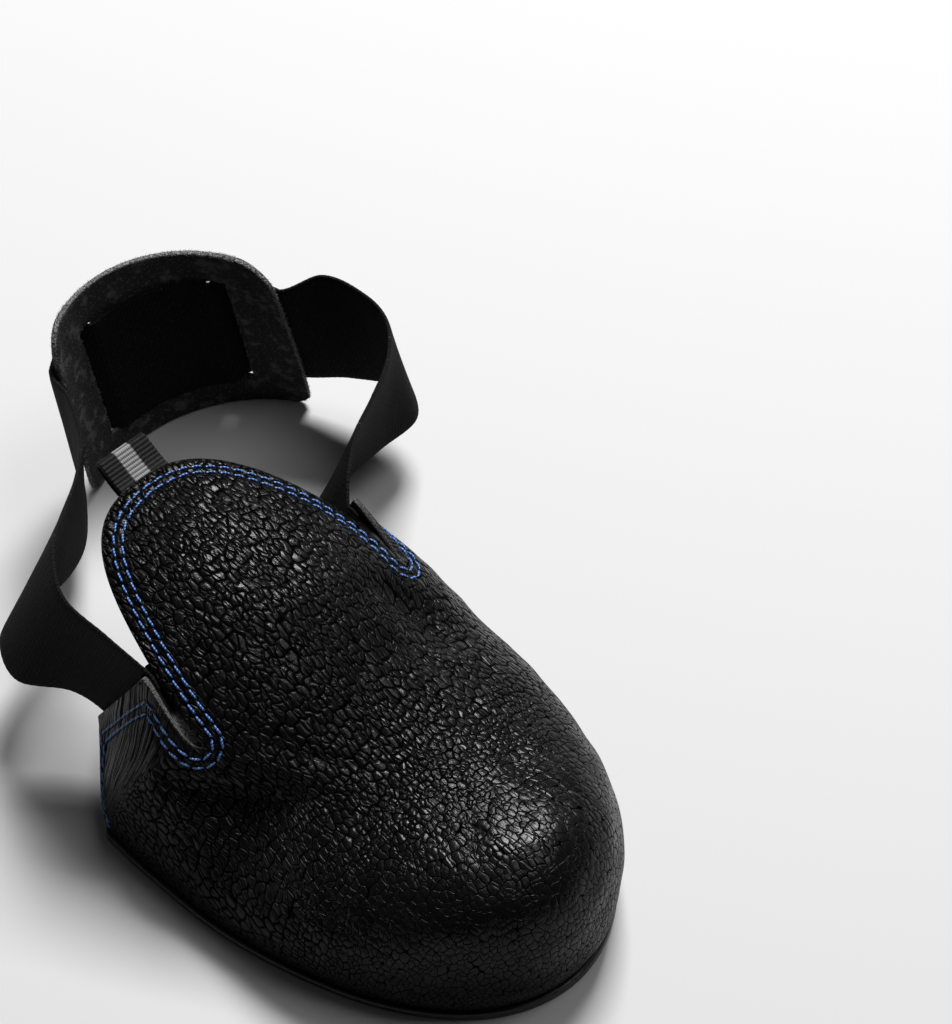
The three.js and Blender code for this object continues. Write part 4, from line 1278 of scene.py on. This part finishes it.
class BuildHeelPad(bpy.types.Operator):
    """Bent leather pad with two slots: grain side out, flesh side in, raw fuzzy edges."""
    bl_idname = "overshoe.heel_pad"
    bl_label = "Heel pad"

    def execute(self, context):
        leather, strap = context.scene.overshoe_leather, context.scene.overshoe_strap
        sheet, faces, flat = pad_sheet()
        half = PAD_THICKNESS / 2
        rim = sheet[np.unique(rim_edges(faces))]
        edge = nearest(sheet, rim)[0]
        soft = 0.12 * ripple(sheet, 9, 8) * smoothstep(0, 5, edge)
        points, faces, source, depth = wall(sheet, faces, half + soft - 0.3 * np.exp(-edge / 0.8),
                                            half - soft - 0.2 * np.exp(-edge / 0.8), 0.3)
        fray = 0.22 * ripple(points, 1.6, 9) * (4 * depth * (1 - depth))
        points = points + normals_of(points, faces) * fray[:, None]
        # The pad stands on the floor, and fibres that would reach through it are left out.
        floor = -ORIGIN[2]
        points[:, 2] = np.maximum(points[:, 2], floor)
        grain = flat[source] + np.stack([0 * depth, 0 * depth, depth * PAD_THICKNESS], 1)
        finish = leather_finish("heel_pad_leather", leather.black, strap.pad_flesh,
                                strap.pad_rim, leather.pebble * 1000, leather.relief * 1000,
                                leather.gloss + 0.1)
        make_piece("heel_pad_leather", points, faces, finish,
                   {"grain": grain, "depth": depth, "edge": edge[source],
                    "relief": 0 * depth + 1, "dull_and_shaded": 0 * depth + 0.6, "pull": 0 * depth},
                   replaces=("heel_pad",))
        rim = np.flatnonzero((depth > 0.01) & (depth < 0.99))
        spikes, faces = fibres(points[rim], normals_of(points, faces)[rim], FIBRES, FIBRE_LENGTH, 5)
        spikes = spikes.reshape(-1, 4, 3)
        spikes = spikes[spikes[:, :, 2].min(1) > floor].reshape(-1, 3)
        faces = faces[:len(spikes)]
        shade = np.repeat(np.random.default_rng(6).uniform(0, 1, len(spikes) // 4), 4)
        make_piece("heel_pad_fuzz", spikes, faces, fibre_finish("pad_fibre", strap.pad_rim),
                   {"shade": shade})
        return {"FINISHED"}


class BuildHeelBand(bpy.types.Operator):
    """Ribbed elastic band, from wing to wing through the heel pad's slots."""
    bl_idname = "overshoe.heel_band"
    bl_label = "Heel band"

    def execute(self, context):
        strap = context.scene.overshoe_strap
        sheet, faces, weave = band_sheet()
        edge = BAND_WIDTH / 2 - np.abs(weave[:, 1])
        half = BAND_THICKNESS / 2 - 0.18 * np.exp(-(edge / 1.2) ** 2)
        ribs = 0.035 * np.sin(2 * np.pi * weave[:, 0] / (strap.rib * 1000))
        points, faces, source, _ = wall(sheet, faces, half + ribs, half - ribs, 0.25)
        make_piece("elastic_heel_band", points, faces,
                   elastic_finish("black_elastic", strap.black, strap.rib * 1000),
                   {"weave": weave[source]}, replaces=("heel_band",))
        return {"FINISHED"}


class BuildPullLoop(bpy.types.Operator):
    """Folded webbing loop with cross ribs and a pale middle stripe."""
    bl_idname = "overshoe.pull_loop"
    bl_label = "Pull loop"

    def execute(self, context):
        strap = context.scene.overshoe_strap
        sheet, faces, weave = loop_sheet()
        ribs = 0.16 * np.cos(2 * np.pi * weave[:, 0] / WEBBING_RIB)
        half = LOOP_THICKNESS / 2
        points, faces, source, _ = wall(sheet, faces, half + ribs - 0.05, half - 0.05, 0.2)
        make_piece("webbing_pull_loop", points, faces,
                   webbing_finish("striped_webbing", strap.webbing, strap.stripe),
                   {"weave": weave[source]}, replaces=("pull_loop",))
        return {"FINISHED"}


class BuildStage(bpy.types.Operator):
    """Plain pale floor, soft studio light and the camera."""
    bl_idname = "overshoe.stage"
    bl_label = "Stage"

    # Where the camera stands and looks, in shoe coordinates, and its lens.
    camera_at = (-380.1, -349.09, 812.81)
    camera_to = (94.86, 135.46, 0.0)
    lens, sensor = 127.28, 36.0

    def execute(self, context):
        scene, stage = context.scene, context.scene.overshoe_stage
        mesh = bpy.data.meshes.new("floor")
        reach, under = 6.0, -0.0004
        corners = [(-reach, -reach, under), (reach, -reach, under),
                   (reach, reach, under), (-reach, reach, under)]
        mesh.from_pydata(corners, [], [(0, 1, 2, 3)])
        mesh.materials.append(stage_finish("pale_floor", stage.floor))
        floor = bpy.data.objects.new("floor", mesh)
        scene.collection.objects.link(floor)

        world = bpy.data.worlds.new("studio")
        world.use_nodes = True
        world.node_tree.nodes["Background"].inputs["Color"].default_value = (1, 1, 1, 1)
        world.node_tree.nodes["Background"].inputs["Strength"].default_value = stage.world
        scene.world = world
        scene.view_settings.view_transform = "Standard"

        middle = Vector(((CAD_BOX[0][k] + CAD_BOX[1][k]) / 2 for k in range(3)))
        self.lamp(scene, "key", middle, 34, 55, 2.2, 0.75, stage.key_power)
        self.lamp(scene, "top", middle, -38, 66, 2.2, 1.0, stage.key_power * 0.14)

        camera = bpy.data.cameras.new("camera")
        camera.lens, camera.sensor_width = self.lens, self.sensor
        camera.clip_start, camera.clip_end = 0.05, 20.0
        holder = bpy.data.objects.new("camera", camera)
        place, aim = (Vector((np.array(p) + ORIGIN) / 1000)
                      for p in (self.camera_at, self.camera_to))
        holder.location = place
        holder.rotation_euler = (aim - place).to_track_quat("-Z", "Y").to_euler()
        scene.collection.objects.link(holder)
        scene.camera = holder
        return {"FINISHED"}

    def lamp(self, scene, name, middle, azimuth, elevation, distance, size, power):
        """A square lamp that faces the object from a direction given in degrees."""
        a, e = np.radians(azimuth), np.radians(elevation)
        way = Vector((np.cos(a) * np.cos(e), np.sin(a) * np.cos(e), np.sin(e)))
        light = bpy.data.lights.new(name, "AREA")
        light.energy, light.size = power, size
        holder = bpy.data.objects.new(name, light)
        holder.location = middle + way * distance
        holder.rotation_euler = way.to_track_quat("Z", "Y").to_euler()
        scene.collection.objects.link(holder)


BUILDERS = (BuildUpper, BuildSole, BuildHeelPad, BuildHeelBand, BuildPullLoop, BuildStage)


class OvershoePanel(bpy.types.Panel):
    """Buttons for every piece, over their sizes and colours."""
    bl_idname = "VIEW3D_PT_overshoe"
    bl_label = "Toe cap overshoe"
    bl_space_type = "VIEW_3D"
    bl_region_type = "UI"
    bl_category = "Overshoe"

    def draw(self, context):
        for builder in BUILDERS:
            self.layout.operator(builder.bl_idname)
        for name, group in GROUPS.items():
            box = self.layout.box()
            for key in group.__annotations__:
                box.prop(getattr(context.scene, name), key)


GROUPS = {
    "overshoe_leather": OvershoeLeather,
    "overshoe_thread": OvershoeThread,
    "overshoe_strap": OvershoeStrap,
    "overshoe_sole": OvershoeSole,
    "overshoe_stage": OvershoeStage,
}


def register():
    """Adds the classes, and the groups of sizes and colours to the scene."""
    for cls in (*GROUPS.values(), *BUILDERS, OvershoePanel):
        bpy.utils.register_class(cls)
    for name, group in GROUPS.items():
        setattr(bpy.types.Scene, name, bpy.props.PointerProperty(type=group))


def unregister():
    """Takes away what register added."""
    for name in GROUPS:
        delattr(bpy.types.Scene, name)
    for cls in reversed((*GROUPS.values(), *BUILDERS, OvershoePanel)):
        bpy.utils.unregister_class(cls)


def main():
    """Builds every piece in order."""
    register()
    for builder in BUILDERS:
        space, name = builder.bl_idname.split(".")
        getattr(getattr(bpy.ops, space), name)()


if __name__ == "__main__":
    main()
